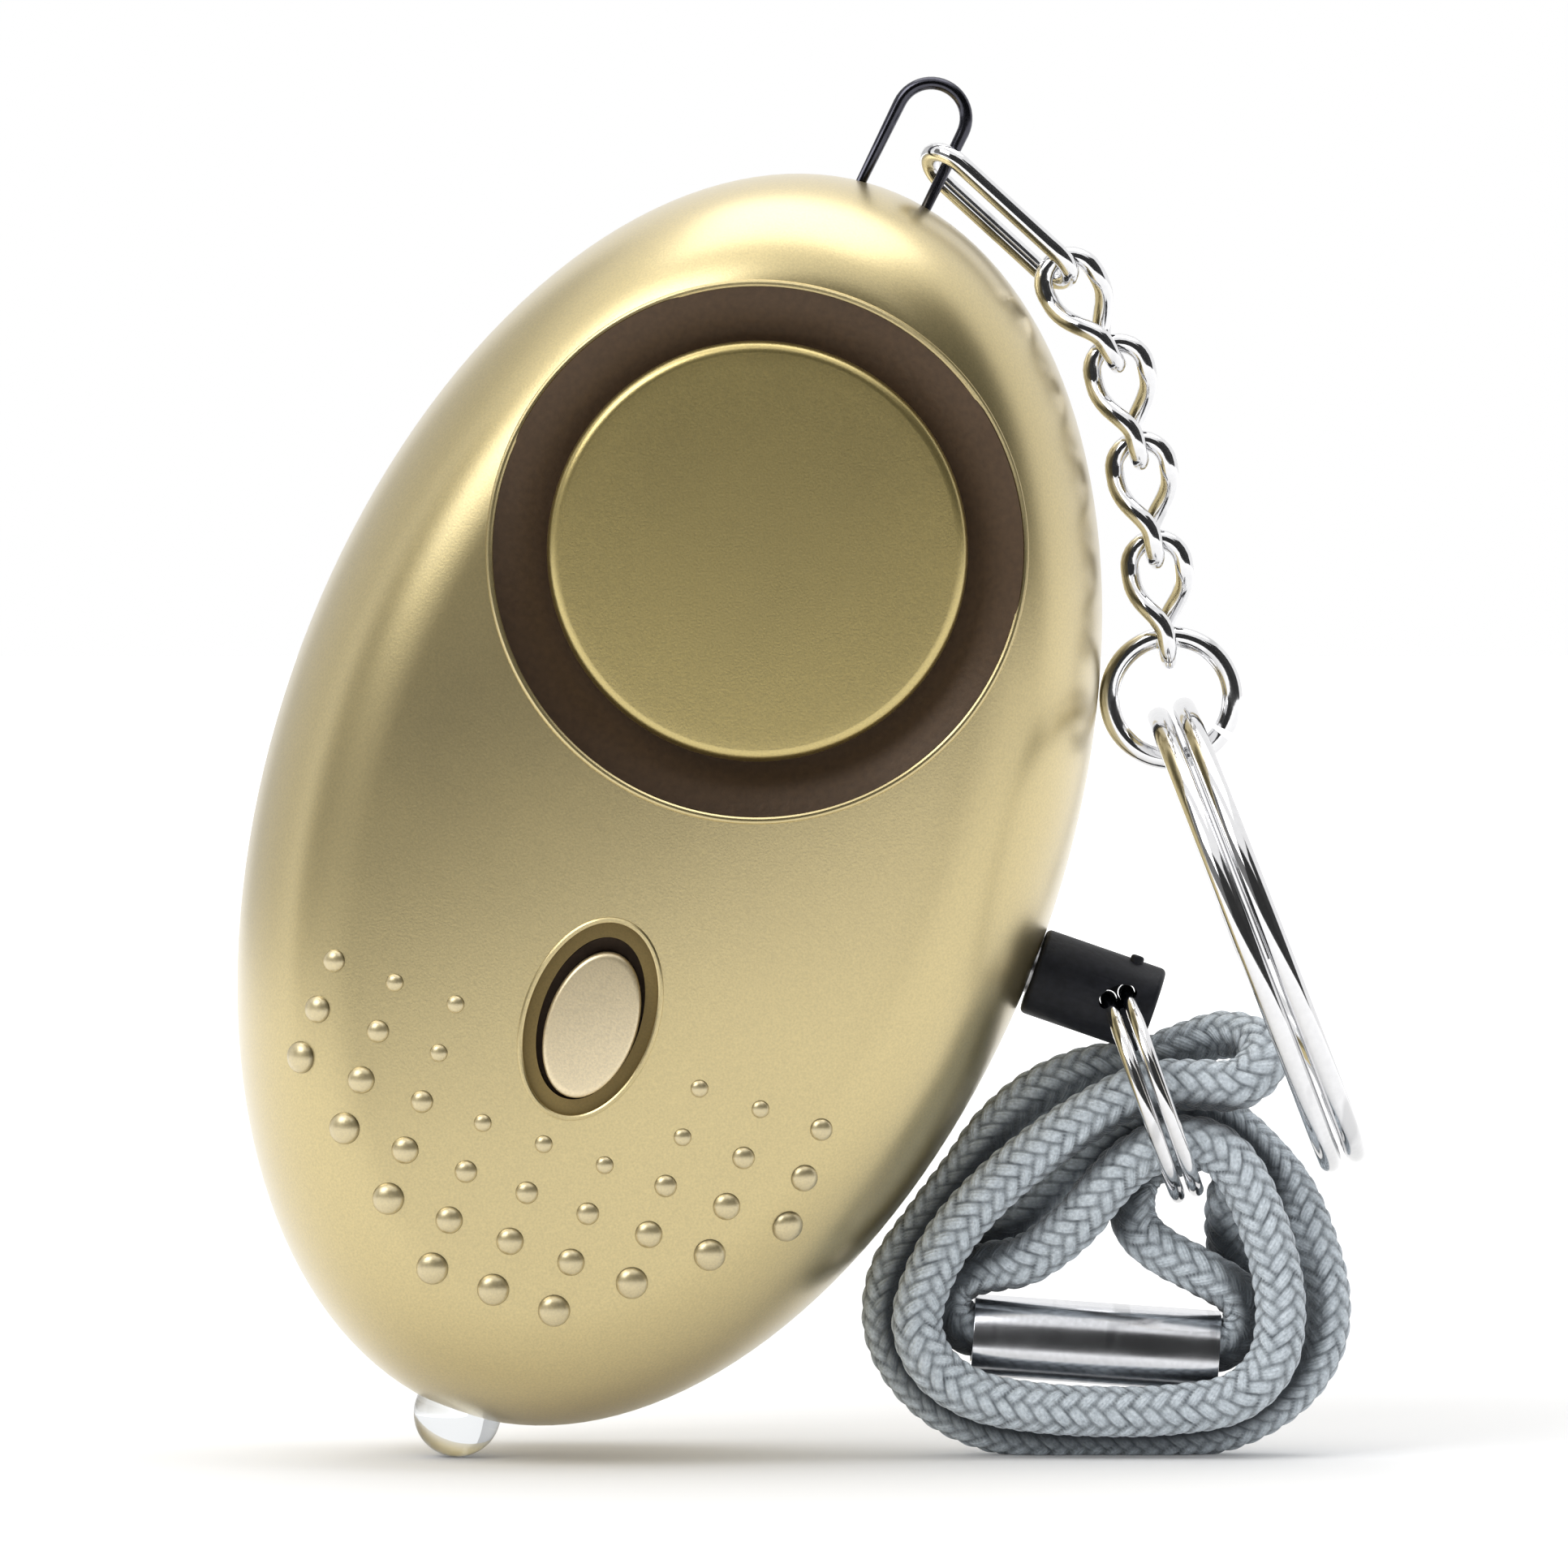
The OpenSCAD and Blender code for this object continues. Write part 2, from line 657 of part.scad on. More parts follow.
module piezo_plate() {
    color(brass) facing()
        translate([0, sounder_u, piezo_front - piezo_t]) cylinder(d = piezo_d, h = piezo_t);
}

module piezo_ceramic() {
    color([0.85, 0.85, 0.82]) facing()
        translate([0, sounder_u, piezo_front - 2 * piezo_t]) cylinder(d = ceramic_d, h = piezo_t);
}

// A thin wire through a few places
module bent_wire(places, d) {
    for (i = [0 : len(places) - 2])
        let (run = places[i + 1] - places[i])
            translate(places[i])
                rotate([0, acos(run[2] / norm(run)), atan2(run[1], run[0])])
                    cylinder(d = d, h = norm(run), $fn = 16);
    for (i = [1 : len(places) - 2]) translate(places[i]) sphere(d = d, $fn = 16);
}

lead_v = 3;
lead_d = 0.6;
lead_depth = 1.4;

module piezo_leads() {
    from = sounder_u - ceramic_d / 3;
    to = board_top - cup_rim;
    run = board_back - lead_depth;
    color("firebrick") facing()
        for (side = [-1, 1])
            bent_wire([
                [side * lead_v, from, piezo_front - 2 * piezo_t], [side * lead_v, from, run],
                [side * lead_v, to, run], [side * lead_v, to, board_back]
            ], lead_d);
}

// The board and the parts on it
module circuit_board() {
    color(board_green) facing() translate([0, 0, board_back]) difference() {
        linear_extrude(board_t) polygon(board_outline);
        at_screws() translate([0, 0, -cut_over])
            cylinder(d = post_d + 2 * seat_gap, h = board_t + 2 * cut_over);
    }
}

module tact_switch() {
    color(black) facing() translate([0, -button_u, 0]) difference() {
        translate([-switch_w / 2, -switch_w / 2, board_front]) cube([switch_w, switch_w, switch_h]);
        translate([0, 0, board_front + switch_floor])
            cylinder(d = plunger_d + 2 * slide_gap, h = switch_top);
    }
}

module switch_plunger() {
    bottom = board_front + switch_floor + seat_gap + button_travel;
    color("gainsboro") facing() translate([0, -button_u, bottom])
        cylinder(d = plunger_d, h = flange_back - bottom);
}

module light_button() {
    color(gold) facing() {
        oval(button_l, button_w, flange_front, button_face);
        oval(button_l + 2 * flange_w, button_w + 2 * flange_w, flange_back, flange_front);
    }
}

module siren_chip() {
    r = (pow(chip_d / 2, 2) + chip_h * chip_h) / (2 * chip_h);
    color(black) facing() translate([chip_v, chip_u, board_front]) intersection() {
        cylinder(d = chip_d + cut_over, h = chip_h + cut_over);
        translate([0, 0, chip_h - r]) sphere(r = r);
    }
}

module drive_transistor() {
    color(black) facing() translate([part_v, transistor_u, board_back - transistor_h]) intersection() {
        cylinder(d = transistor_d, h = transistor_h);
        translate([-transistor_d, -0.3 * transistor_d, 0])
            cube([2 * transistor_d, transistor_d, transistor_h]);
    }
}

inductor_core_d = 0.43 * inductor_d;

module inductor_core() {
    color([0.25, 0.25, 0.27]) facing() translate([-part_v, inductor_u, board_back - inductor_h]) {
        cylinder(d = inductor_d, h = inductor_h / 5);
        cylinder(d = inductor_core_d, h = inductor_h);
        translate([0, 0, inductor_h * 4 / 5]) cylinder(d = inductor_d, h = inductor_h / 5);
    }
}

module inductor_winding() {
    color([0.72, 0.38, 0.18]) facing()
        translate([-part_v, inductor_u, board_back - inductor_h * 4 / 5]) difference() {
            cylinder(d = 0.93 * inductor_d, h = inductor_h * 3 / 5);
            translate([0, 0, -cut_over]) cylinder(d = inductor_core_d, h = inductor_h);
        }
}

lamp_flange = 0.9;
lamp_lead_v = 1.27;
lamp_lead_d = 0.5;

module lamp_lens() {
    color([0.88, 0.92, 0.95, 0.6]) posed() {
        translate([0, 0, lamp_u]) sphere(d = lamp_d);
        translate([0, 0, lamp_u]) cylinder(d = lamp_d, h = lamp_in);
        translate([0, 0, lamp_top - lamp_flange])
            cylinder(d = lamp_d + lamp_flange, h = lamp_flange);
    }
}

module lamp_leads() {
    bend = lamp_top + lead_rise;
    color(steel) posed()
        for (side = [-1, 1])
            bent_wire([
                [side * lamp_lead_v, 0, lamp_top], [side * lamp_lead_v, 0, bend],
                [side * lamp_lead_v, -board_back, bend]
            ], lamp_lead_d);
}

cell_cap = 0.5;

module button_cells() {
    color(chrome) posed()
        for (i = [0 : cell_count - 1])
            translate([0, cell_y, stack_bottom + i * cell_h]) {
                cylinder(d = cell_d, h = cell_h - cell_cap);
                translate([0, 0, cell_h - cell_cap]) cylinder(d = 0.8 * cell_d, h = cell_cap);
            }
}

// The bay that holds the stack of cells on the back wall
module battery_tray() {
    side = cell_d / 2 + tray_side;
    color(black) posed() difference() {
        translate([0, bay_back, 0]) rotate([90, 0, 0])
            linear_extrude(bay_back - cell_y + tray_above) polygon([
                [-side, bay_top], [-side, bay_end + side * 0.7], [-side / 2, bay_end],
                [side / 2, bay_end], [side, bay_end + side * 0.7], [side, bay_top]
            ]);
        translate([0, cell_y, spring_end - seat_gap])
            cylinder(d = cell_d + 2 * seat_gap, h = stack_top + plate_t + 2 * seat_gap - spring_end);
        translate([-cell_d / 2 - seat_gap, cell_y - cell_d, spring_end - seat_gap])
            cube([cell_d + 2 * seat_gap, cell_d, stack_top + plate_t + 2 * seat_gap - spring_end]);
    }
}

spring_turns = 3;
spring_wire = 0.5;
spring_path = [
    for (i = [0 : 12 * spring_turns])
        let (a = 30 * i, s = i / (12 * spring_turns), r = cell_d * (0.38 - 0.17 * s))
            [r * cos(a), cell_y + r * sin(a), spring_end + spring_wire / 2 + s * (spring_l - spring_wire)]
];

module battery_spring() {
    color(steel) posed() open_tube(spring_path, [1, 0, 0], spring_wire / 2, coil_sides);
}

module battery_plate() {
    color(steel) posed() translate([0, cell_y, stack_top]) cylinder(d = cell_d - 1, h = plate_t);
}

socket_half = pin_d;
socket_wall = 1.4;
socket_from = pin_start - socket_wall;
socket_to = half_w - 2 * wall;
leaf_t = 0.25;
leaf_w = 1.6;
leaf_l = 5;
leaf_gap = pin_d / 2 + pin_gap;

// The socket that the pin parts two contact leaves in
module pin_socket() {
    color(black) across() difference() {
        translate([-socket_half, -board_back, socket_from])
            cube([2 * socket_half, board_back + socket_half, socket_to - socket_from]);
        translate([0, 0, socket_from - cut_over])
            cylinder(d = pin_d + 2 * pin_gap, h = socket_to - socket_from + 2 * cut_over);
        for (side = [-1, 1])
            translate([side * (leaf_gap + leaf_t / 2), 0, socket_from + leaf_l / 2])
                cube([leaf_t + 2 * seat_gap, leaf_w + 2 * seat_gap, leaf_l + cut_over], center = true);
    }
}

module contact_leaves() {
    color(brass) across()
        for (side = [-1, 1])
            translate([side * (leaf_gap + leaf_t / 2), 0, socket_from + leaf_l / 2])
                cube([leaf_t, leaf_w, leaf_l], center = true);
}

module pull_pin() {
    color(steel) across() translate([0, 0, pin_start]) {
        cylinder(d1 = 0.67 * pin_d, d2 = pin_d, h = pin_d / 4);
        translate([0, 0, pin_d / 4]) cylinder(d = pin_d, h = pin_end - pin_start - pin_d / 4);
    }
}

module pull_plug() {
    color(black) across() difference() {
        translate([0, 0, plug_start]) rotate_extrude() polygon([
            [0, 0], [plug_d / 2 - plug_edge, 0], [plug_d / 2, plug_edge],
            [plug_d / 2, plug_l - plug_edge], [plug_d / 2 - plug_edge, plug_l], [0, plug_l]
        ]);
        translate([0, 0, plug_start - cut_over])
            cylinder(d = pin_d + 2 * pin_gap, h = cut_over + pin_grip + seat_gap);
        translate([0, 0, eye_v]) rotate([90, 0, 0]) cylinder(d = eye_d, h = 2 * plug_d, center = true);
    }
}

module wire_loop() {
    color([0.25, 0.25, 0.27]) posed() translate([staple_v, 0, half_l]) rotate([0, staple_lean, 0]) {
        for (side = [-1, 1]) translate([side * staple_w / 2, 0, -staple_root]) {
            cylinder(d = staple_wire, h = staple_root + staple_h);
            sphere(d = staple_wire);
            rotate([0, side * 90, 0]) cylinder(d = staple_wire, h = 1);
        }
        translate([0, 0, staple_h]) rotate([90, 0, 0])
            rotate_extrude(angle = 180) translate([staple_w / 2, 0]) circle(d = staple_wire);
    }
}

// A chain link hanging from its own top pivot: face on at the top, turned by a twist at the bottom
link_bend = 8;
link_legs = 6;
function ease(s) = s * s * (3 - 2 * s);
function link_flat(top, bottom, w) =
    let (r = w / 2)
        concat(
            [
                for (i = [0 : link_bend - 1])
                    let (a = 180 * i / link_bend)
                        [[0, 0, top - r], [cos(a), sin(a)], r]
            ],
            [
                for (i = [0 : link_legs - 1])
                    let (z = top - r + (bottom + 2 * r - top) * i / link_legs)
                        [[0, 0, z], [-1, 0], r]
            ],
            [
                for (i = [0 : link_bend - 1])
                    let (a = 180 + 180 * i / link_bend)
                        [[0, 0, bottom + r], [cos(a), sin(a)], r]
            ],
            [
                for (i = [0 : link_legs - 1])
                    let (z = bottom + r + (top - bottom - 2 * r) * i / link_legs)
                        [[0, 0, z], [1, 0], r]
            ]
        );
function link_normal(f, top, bottom, w, twist) =
    let (
        z = f[0][2] + f[2] * f[1][1],
        s = min(1, max(0, (top - w / 2 - z) / (top - bottom - w))),
        a = twist[0] + (twist[1] - twist[0]) * ease(s)
    )
        [f[1][0] * cos(a), f[1][0] * sin(a), f[1][1]];

module link(top, bottom, w, twist, wire, sides) {
    flat = link_flat(top, bottom, w);
    normals = [for (f = flat) link_normal(f, top, bottom, w, twist)];
    path = [for (i = [0 : len(flat) - 1]) flat[i][0] + flat[i][2] * normals[i]];
    closed_tube(path, normals, wire / 2, sides);
}

module hanging(rel, angle) {
    translate(middle + rel) rotate([0, -angle, 0]) children();
}

module chain_connector() {
    top = (staple_wire + link_wire) / 2 + wire_gap;
    roll = 90 + connector_roll;
    color(chrome) hanging(rel_0, connector_angle)
        link(top, -connector_pitch, link_w, [roll, roll], link_wire, 8);
}

module chain_link(rel, angle) {
    color(chrome) hanging(rel, angle)
        link(link_wire + wire_gap, -link_pitch, link_w, [0, 90], link_wire, 8);
}
module chain_link_1() {
    chain_link(rel_1, link_angles[0]);
}
module chain_link_2() {
    chain_link(rel_2, link_angles[1]);
}
module chain_link_3() {
    chain_link(rel_3, link_angles[2]);
}
module chain_link_4() {
    chain_link(rel_4, link_angles[3]);
}

module jump_ring() {
    color(chrome) translate(middle + rel_jump) rotate([90, 0, 0])
        rotate([0, 0, -30])
            rotate_extrude(angle = 354) translate([jump_mean / 2, 0]) circle(d = jump_wire);
}

// A split ring: one wire that goes round almost twice and steps aside in between
function coil_path(mean, pitch) = [
    for (i = [0 : round((720 - jog_angle) / 360 * rings_a_turn)])
        let (
            a = jog_from + jog_angle - 360 + i * 360 / rings_a_turn,
            s = min(1, max(0, (a - jog_from) / jog_angle))
        )
            [pitch * (ease(s) - 0.5), mean / 2 * sin(a + 120), mean / 2 * cos(a + 120)]
];
key_path = coil_path(key_mean, key_wire + coil_gap);
strap_ring_path = coil_path(strap_ring_mean, strap_ring_wire + coil_gap);
turn_skip = round(rings_a_turn / 2);

module key_ring() {
    color(chrome) hanging(rel_key, key_angle)
        open_tube(key_path, [0, key_path[0][1], key_path[0][2]], key_wire / 2, coil_sides);
}

module strap_ring() {
    color(chrome) translate(eye + (strap_ring_mean / 2 - eye_rise) * hung(strap_ring_angle))
        rotate([0, -strap_ring_angle, 0])
            open_tube(
                strap_ring_path, [0, strap_ring_path[0][1], strap_ring_path[0][2]],
                strap_ring_wire / 2, coil_sides
            );
}

// The strap, pressed flat where it lies on the table
strap_path = smooth_route(strap_route, route_steps);

module wrist_strap() {
    color(strap_grey) difference() {
        open_tube(strap_path, [0, 1, 0], strap_d / 2, strap_sides);
        translate([-body_l, -body_l, -strap_d]) cube([2 * body_l, 2 * body_l, strap_d]);
    }
}

module ferrule_oval(height) {
    hull() for (side = [-1, 1]) translate([0, side * strand_step / 2]) circle(d = height);
}

module strap_ferrule() {
    color(chrome) translate(ferrule_middle) rotate([0, 90 + ferrule_tilt, 0]) difference() {
        linear_extrude(ferrule_l, center = true) ferrule_oval(ferrule_d);
        linear_extrude(ferrule_l + 2 * cut_over, center = true) ferrule_oval(strap_d + 2 * seat_gap);
    }
}

echo(strap_length = route_length(strap_path), strap_gap = least_gap(strap_path, strap_skip, strap_d));
echo(key_ring_gap = least_gap(key_path, turn_skip, key_wire));
echo(strap_ring_gap = least_gap(strap_ring_path, turn_skip, strap_ring_wire));
echo(spring_gap = least_gap(spring_path, 7, spring_wire));
echo(middle = middle, eye = eye, pivots = [
    for (p = [rel_0, rel_1, rel_2, rel_3, rel_4, rel_5, rel_6]) middle + p
]);

front_shell();
rear_shell();
resonator_cup();
sounder_cap();
piezo_plate();
piezo_ceramic();
piezo_leads();
circuit_board();
tact_switch();
switch_plunger();
light_button();
siren_chip();
drive_transistor();
inductor_core();
inductor_winding();
lamp_lens();
lamp_leads();
button_cells();
battery_tray();
battery_spring();
battery_plate();
pin_socket();
contact_leaves();
case_screws();
wire_loop();
pull_pin();
pull_plug();
strap_ring();
wrist_strap();
strap_ferrule();
chain_connector();
chain_link_1();
chain_link_2();
chain_link_3();
chain_link_4();
jump_ring();
key_ring();
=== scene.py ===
import json
import math

import bpy
import numpy as np
from mathutils import Matrix, Vector


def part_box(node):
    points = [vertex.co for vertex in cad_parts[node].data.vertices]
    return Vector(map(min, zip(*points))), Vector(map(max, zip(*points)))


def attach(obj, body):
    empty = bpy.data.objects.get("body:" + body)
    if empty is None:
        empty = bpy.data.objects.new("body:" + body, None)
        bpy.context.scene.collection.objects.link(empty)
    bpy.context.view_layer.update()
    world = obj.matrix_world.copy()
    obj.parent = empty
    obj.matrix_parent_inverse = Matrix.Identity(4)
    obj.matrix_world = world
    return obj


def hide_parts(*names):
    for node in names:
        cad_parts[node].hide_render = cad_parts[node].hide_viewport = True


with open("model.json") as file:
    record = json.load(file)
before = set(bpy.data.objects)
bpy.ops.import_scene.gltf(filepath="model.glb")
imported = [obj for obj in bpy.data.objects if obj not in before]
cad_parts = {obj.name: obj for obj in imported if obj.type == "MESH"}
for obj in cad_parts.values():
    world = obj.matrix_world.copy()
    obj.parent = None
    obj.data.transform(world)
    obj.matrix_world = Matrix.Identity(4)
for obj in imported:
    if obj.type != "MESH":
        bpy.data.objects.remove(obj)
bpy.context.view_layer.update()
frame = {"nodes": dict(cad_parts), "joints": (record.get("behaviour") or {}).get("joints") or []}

# Lengths are in millimetres until a piece is set in its place. On the egg, u runs along its axis
# and v across it, and depths start from the plane where the two shells meet. The u of the button,
# the well, the pin and the screws counts down from the middle.
MM = 0.001
QUARTER = math.radians(90)
LEAN = math.radians(19.1)

# The shells
HALF_L, HALF_W = 32.5, 20.0
FRONT_D, REAR_D, WALL, CROWN = 11.0, 11.0, 1.6, 1.5
FRONT_EDGE, REAR_EDGE = 6.5, 7.0
EDGE_STOP = math.radians(84)
AROUND, EDGE_STEPS, CROWN_STEPS = 160, 24, 14
PARTING, PARTING_EASE = 0.14, 0.3
CUT_OVER, HOLE_GAP, LAMP_GAP = 1.0, 0.05, 0.1
SCREW_V, SCREW_U, SCREW_R, SCREW_END = 10.6, 13, 0.95, 2
SCREW_HEAD_R, SCREW_HEAD_DEPTH = 1.7, 1.6

# The sounder
SOUNDER_U, OPENING_R, COLLAR_END = 13.5, 13.3, 6.2
CAP_R, CAP_DOME, CAP_RIM, CAP_FRONT, CAP_BACK, CAP_BEVEL = 10.45, 0.1, 0.6, 9.8, 8.7, 0.2
STEM_R, STEM_END, STEM_GAP = 3.0, 7.0, 0.1
RECESS_FLOOR, RECESS_GAP = 7.9, 0.1

# The button, its well and the sunken ring round it
BUTTON_V, BUTTON_U, BUTTON_L, BUTTON_W, BUTTON_PROUD = -0.09, 11.35, 7.5, 4.5, 0.15
WELL_V, WELL_U, WELL_L, WELL_W, WELL_END = -0.25, 11.08, 8.36, 4.96, 5
BUTTON_EDGE, BUTTON_EDGE_UP, BUTTON_EDGE_SHARE = 0.36, 0.26, 0.11
BUTTON_SIDE, BUTTON_GOLD = 0.6, 0.9
FLANGE_SHARE, FLANGE_H, FLANGE_REACH, FLANGE_GAP = 1.18, 0.6, 0.7, 0.2
SUNK_L, SUNK_W, SUNK_DEPTH = 10.2, 6.5, 0.7
OPENING_LIP, BUTTON_LIP, LIP_SINK = 0.36, 0.3, 0.03

# The grip beads: the top rows leave the middle free, the others form a wedge
BEAD_V, BEAD_U, BEAD_STEP_V, BEAD_STEP_U = -0.4, -12.6, 3.2, 2.57
BEAD_ROWS, BEAD_REACH, SIDE_ROWS, SIDE_FROM = 6, 4, 2, 2
BEAD_D, BEAD_GROWTH, BEAD_RISE, BEAD_SHADE_HEIGHT = 0.9, 0.24, 0.66, 0.42

# The lamp, the pull pin and its plug
LAMP_U, LAMP_R, LAMP_IN, LAMP_FLANGE, LAMP_FLANGE_H = -32.6, 2.2, 4.6, 0.4, 0.9
PIN_U, PIN_R, PIN_IN = 2.1, 1.2, 2.8
PLUG_START, PLUG_END, PLUG_R, PLUG_EDGE = 20.03, 26.358, 2.2, 0.28
EYE_HALF_W, EYE_HALF_H, EYE_WEB, EYE_WIRE_GAP = 1.0, 0.58, 0.3, 0.04
NUB_R, NUB_EDGE, NUB_SIDE, NUB_TOP, NUB_ROOT = 0.34, 0.14, 0.1, 0.25, 0.2
NUB_ASIDE, NUB_FROM_END = 0.5, 1.6

# The staple, the chain and the rings; angles that hang, turn or wind are in degrees
STAPLE_V, STAPLE_LEAN, STAPLE_W, STAPLE_H, STAPLE_ROOT = 0.7, math.radians(7), 3.5, 4.1, 3.0
STAPLE_FOOT = 1
STAPLE_WIRE, LINK_WIRE, JUMP_WIRE, KEY_WIRE, STRAP_RING_WIRE = 0.65, 0.95, 1.05, 1.2, 0.8
LINK_W, LINK_PITCH, CONNECTOR_PITCH, WIRE_GAP = 2.7, 5.0, 8.3, 0.2
CONNECTOR_ANGLE, LINK_ANGLES, CONNECTOR_ROLL = 47.6, (30, 13, 9, 7.5), 118
JUMP_MEAN, JUMP_ANGLE, JUMP_FROM, JUMP_TURN = 6.15, 3, -30, 354
KEY_MEAN, KEY_ANGLE, KEY_SEAT = 23.8, 21.2, 0.8
STRAP_RING_MEAN, STRAP_RING_ANGLE, EYE_RISE = 10.5, 19.5, 0.24
COIL_GAP, COIL_FROM, COIL_TO, COIL_STEP, COIL_TURN = 0.16, 20, 700, 2.5, 120
JOG_FROM, JOG_ANGLE = 340, 40

# The ferrule, a rolled sheet whose outer edge laps over the inner one
FERRULE_MIDDLE, FERRULE_TILT, FERRULE_L, FERRULE_R = Vector((14.6, 2.35, 5.8)), 4, 12.4, 1.85
STRAND_STEP, FERRULE_NOSE, FERRULE_SAG = 2.9, 0.7, 0.35
SHEET, ROLL_FROM, ROLL_TURN, ROLL_STEPS = 0.13, 208, 385, 96
LAP_FROM, LAP_STEPS, LAP_DEPTH, ROLL_INSET = 54, 36, 0.17, 0.07

# The braid of the strap and the points that the strap runs through, as in the part's source
CORD_RINGS, CORD_SIDES, CORD_R, CORD_FLAT, CORD_LOWEST = 1700, 56, 1.15, 0.93, 0.02
YARNS, PLAIT_PITCH, PLAIT_RISE, PLAIT_DIP, THREADS = 8, 0.92, 0.17, 0.75, 4
# PALE_GAIN and PALE_START set where the painted shade between the plaits gives way to the yarn's
# colour.
PALE_GAIN, PALE_START, ROUTE_STEPS, PATH_STEP = 1.45, 0.05, 24, 6
STRAP_ROUTE = (
    (13.2, 0.9, 5.9), (10, 0.9, 6.1), (8.8, 0.9, 6.2), (7.7, 0.9, 6.6), (7.1, 0.9, 7.6),
    (7.4, 0.9, 8.7), (8.4, 0.7, 9.3), (9.7, 0.5, 9.6), (11, 0.1, 9.9), (12.4, -0.3, 10.8),
    (13.7, -0.8, 12), (14.8, -1.2, 13.4), (16, -1.5, 14.7), (17.2, -1.8, 15.5), (18.5, -2, 16),
    (20.2, -1.9, 15.8), (21.6, -1.8, 14.6), (22.7, -1.7, 12.4), (23.5, -1.6, 9.8),
    (23.8, -1.6, 7.2), (23.3, -1.6, 4.8), (21.5, -1.6, 3.1), (18.4, -1.6, 2.5),
    (15, -1.6, 2.4), (11.6, -1.6, 2.6), (8.6, -1.6, 3.2), (6.5, -1.6, 4.6), (5.6, -1.6, 6.7),
    (6.1, -1.6, 9), (7.5, -1.6, 11.5), (9.7, -1.6, 13.9), (12.3, -1.6, 16), (14.8, -1.6, 17.6),
    (17.2, -1.6, 18.7), (19.6, -1.6, 18.8), (21.6, -1.4, 18.8), (22.9, -0.6, 19.8),
    (22.6, 0.8, 20.8), (21, 1.9, 21.1), (19, 2.2, 20.5), (17, 2.5, 19.7), (14.2, 2.3, 19.3),
    (11.6, 1.9, 18.2), (9.5, 1.7, 16.4), (8, 1.6, 14.3), (6.2, 1.6, 11.9), (4.4, 1.6, 9.2),
    (4.1, 1.6, 6.4), (5.3, 1.6, 3.9), (7.6, 1.6, 2), (10.9, 1.6, 1), (14.6, 1.6, 0.96),
    (18.6, 1.6, 0.96), (21.8, 1.6, 1.6), (24.4, 1.6, 3.2), (25.9, 1.6, 5.4), (26.2, 1.8, 8),
    (25.5, 2.7, 10.9), (24.4, 4, 13.3), (22.5, 4.5, 15.5), (20.9, 4.2, 16.8), (19.4, 3.3, 17.4),
    (18, 3, 17), (16.8, 3.1, 16.7), (15, 3.1, 15.8), (13.3, 3.1, 14.4), (11.8, 3.1, 13),
    (10.2, 3.3, 11.6), (8.5, 3.6, 10.2), (7.4, 3.8, 8.8), (7.1, 3.8, 7.6), (7.7, 3.8, 6.6),
    (8.8, 3.8, 6.2), (10, 3.8, 6.1), (12.3, 3.8, 6), (14.6, 3.8, 5.8), (17, 3.8, 5.6),
    (19.2, 3.8, 5.5), (20.4, 3.8, 5.4),
    (21.6, 3.8, 5.7), (22.3, 3.8, 6.7), (22.1, 3.6, 8.5), (21.4, 3.2, 10.4), (21.3, 2.5, 12.5),
    (21.6, 1.7, 14.3), (20.4, 1.1, 15.5), (18.5, 0.8, 15.2), (16.9, 1.2, 14.3), (16.4, 1.2, 12.8),
    (16.7, 1.2, 11.4), (17.9, 0.9, 10.3), (19.8, 0.6, 9.3), (21.6, 0.7, 8.2), (22.2, 0.8, 7),
    (21.7, 0.9, 5.9), (20.5, 0.9, 5.4), (19.2, 0.9, 5.5), (16, 0.9, 5.7),
)

# The studio: places in metres, the camera's sensor in millimetres, tones from 0 to 1
CAMERA_TARGET, CAMERA_AWAY, CAMERA_RISE = Vector((-0.00108, 0, 0.03381)), 0.9, math.radians(2.5)
PHOTO_WIDTH, SENSOR = 0.0786, 36
LIT_PLACE, WORLD_LIGHT, BLACK = (0, 0, 0.035), 0.62, 0.03
FLOOR_TONE, FLOOR_NEAR, FLOOR_FAR, GLOW_NEAR, GLOW_FAR = 0.88, 0.04, 0.5, 0.1, 0.6

# The lacquer on paint, and how much hairlines and the painted shade at the beads' feet keep of their
# colour
COAT_ROUGHNESS, COAT_IOR, LINE_SHADE, FOOT_SHADE = 0.3, 2.0, 0.8, 0.3


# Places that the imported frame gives
def egg_middle():
    low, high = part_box("rear_shell")
    return Vector((low.x + high.x, 0, low.z + high.z)) / (2 * MM)


MIDDLE = egg_middle()
HINGES = {j["name"]: Vector(j["pos_m"]) / MM for j in frame["joints"] if "pos_m" in j}
EYE = HINGES["strap_swing"]

# Frames: the leaning egg, its front face on, its back face on, and pieces that lie across it
WHOLE = Matrix.Identity(4)
POSED = Matrix.Translation(MIDDLE) @ Matrix.Rotation(LEAN, 4, "Y")
FACING = POSED @ Matrix.Rotation(QUARTER, 4, "X")
BACKING = POSED @ Matrix.Rotation(-QUARTER, 4, "X")
ACROSS = POSED @ Matrix.Translation((0, 0, -PIN_U)) @ Matrix.Rotation(QUARTER, 4, "Y")
STAPLE = (
    POSED
    @ Matrix.Translation((STAPLE_V, 0, HALF_L))
    @ Matrix.Rotation(STAPLE_LEAN, 4, "Y")
)


# Camera, floor and light
def set_camera():
    data = bpy.data.cameras.new("camera")
    data.sensor_width = SENSOR
    data.lens = SENSOR * CAMERA_AWAY / PHOTO_WIDTH
    data.clip_start = 0.05
    data.clip_end = 10
    camera = bpy.data.objects.new("camera", data)
    back = Vector((0, -math.cos(CAMERA_RISE), math.sin(CAMERA_RISE)))
    camera.location = CAMERA_TARGET + CAMERA_AWAY * back
    camera.rotation_euler = (QUARTER - CAMERA_RISE, 0, 0)
    bpy.context.scene.collection.objects.link(camera)
    bpy.context.scene.camera = camera


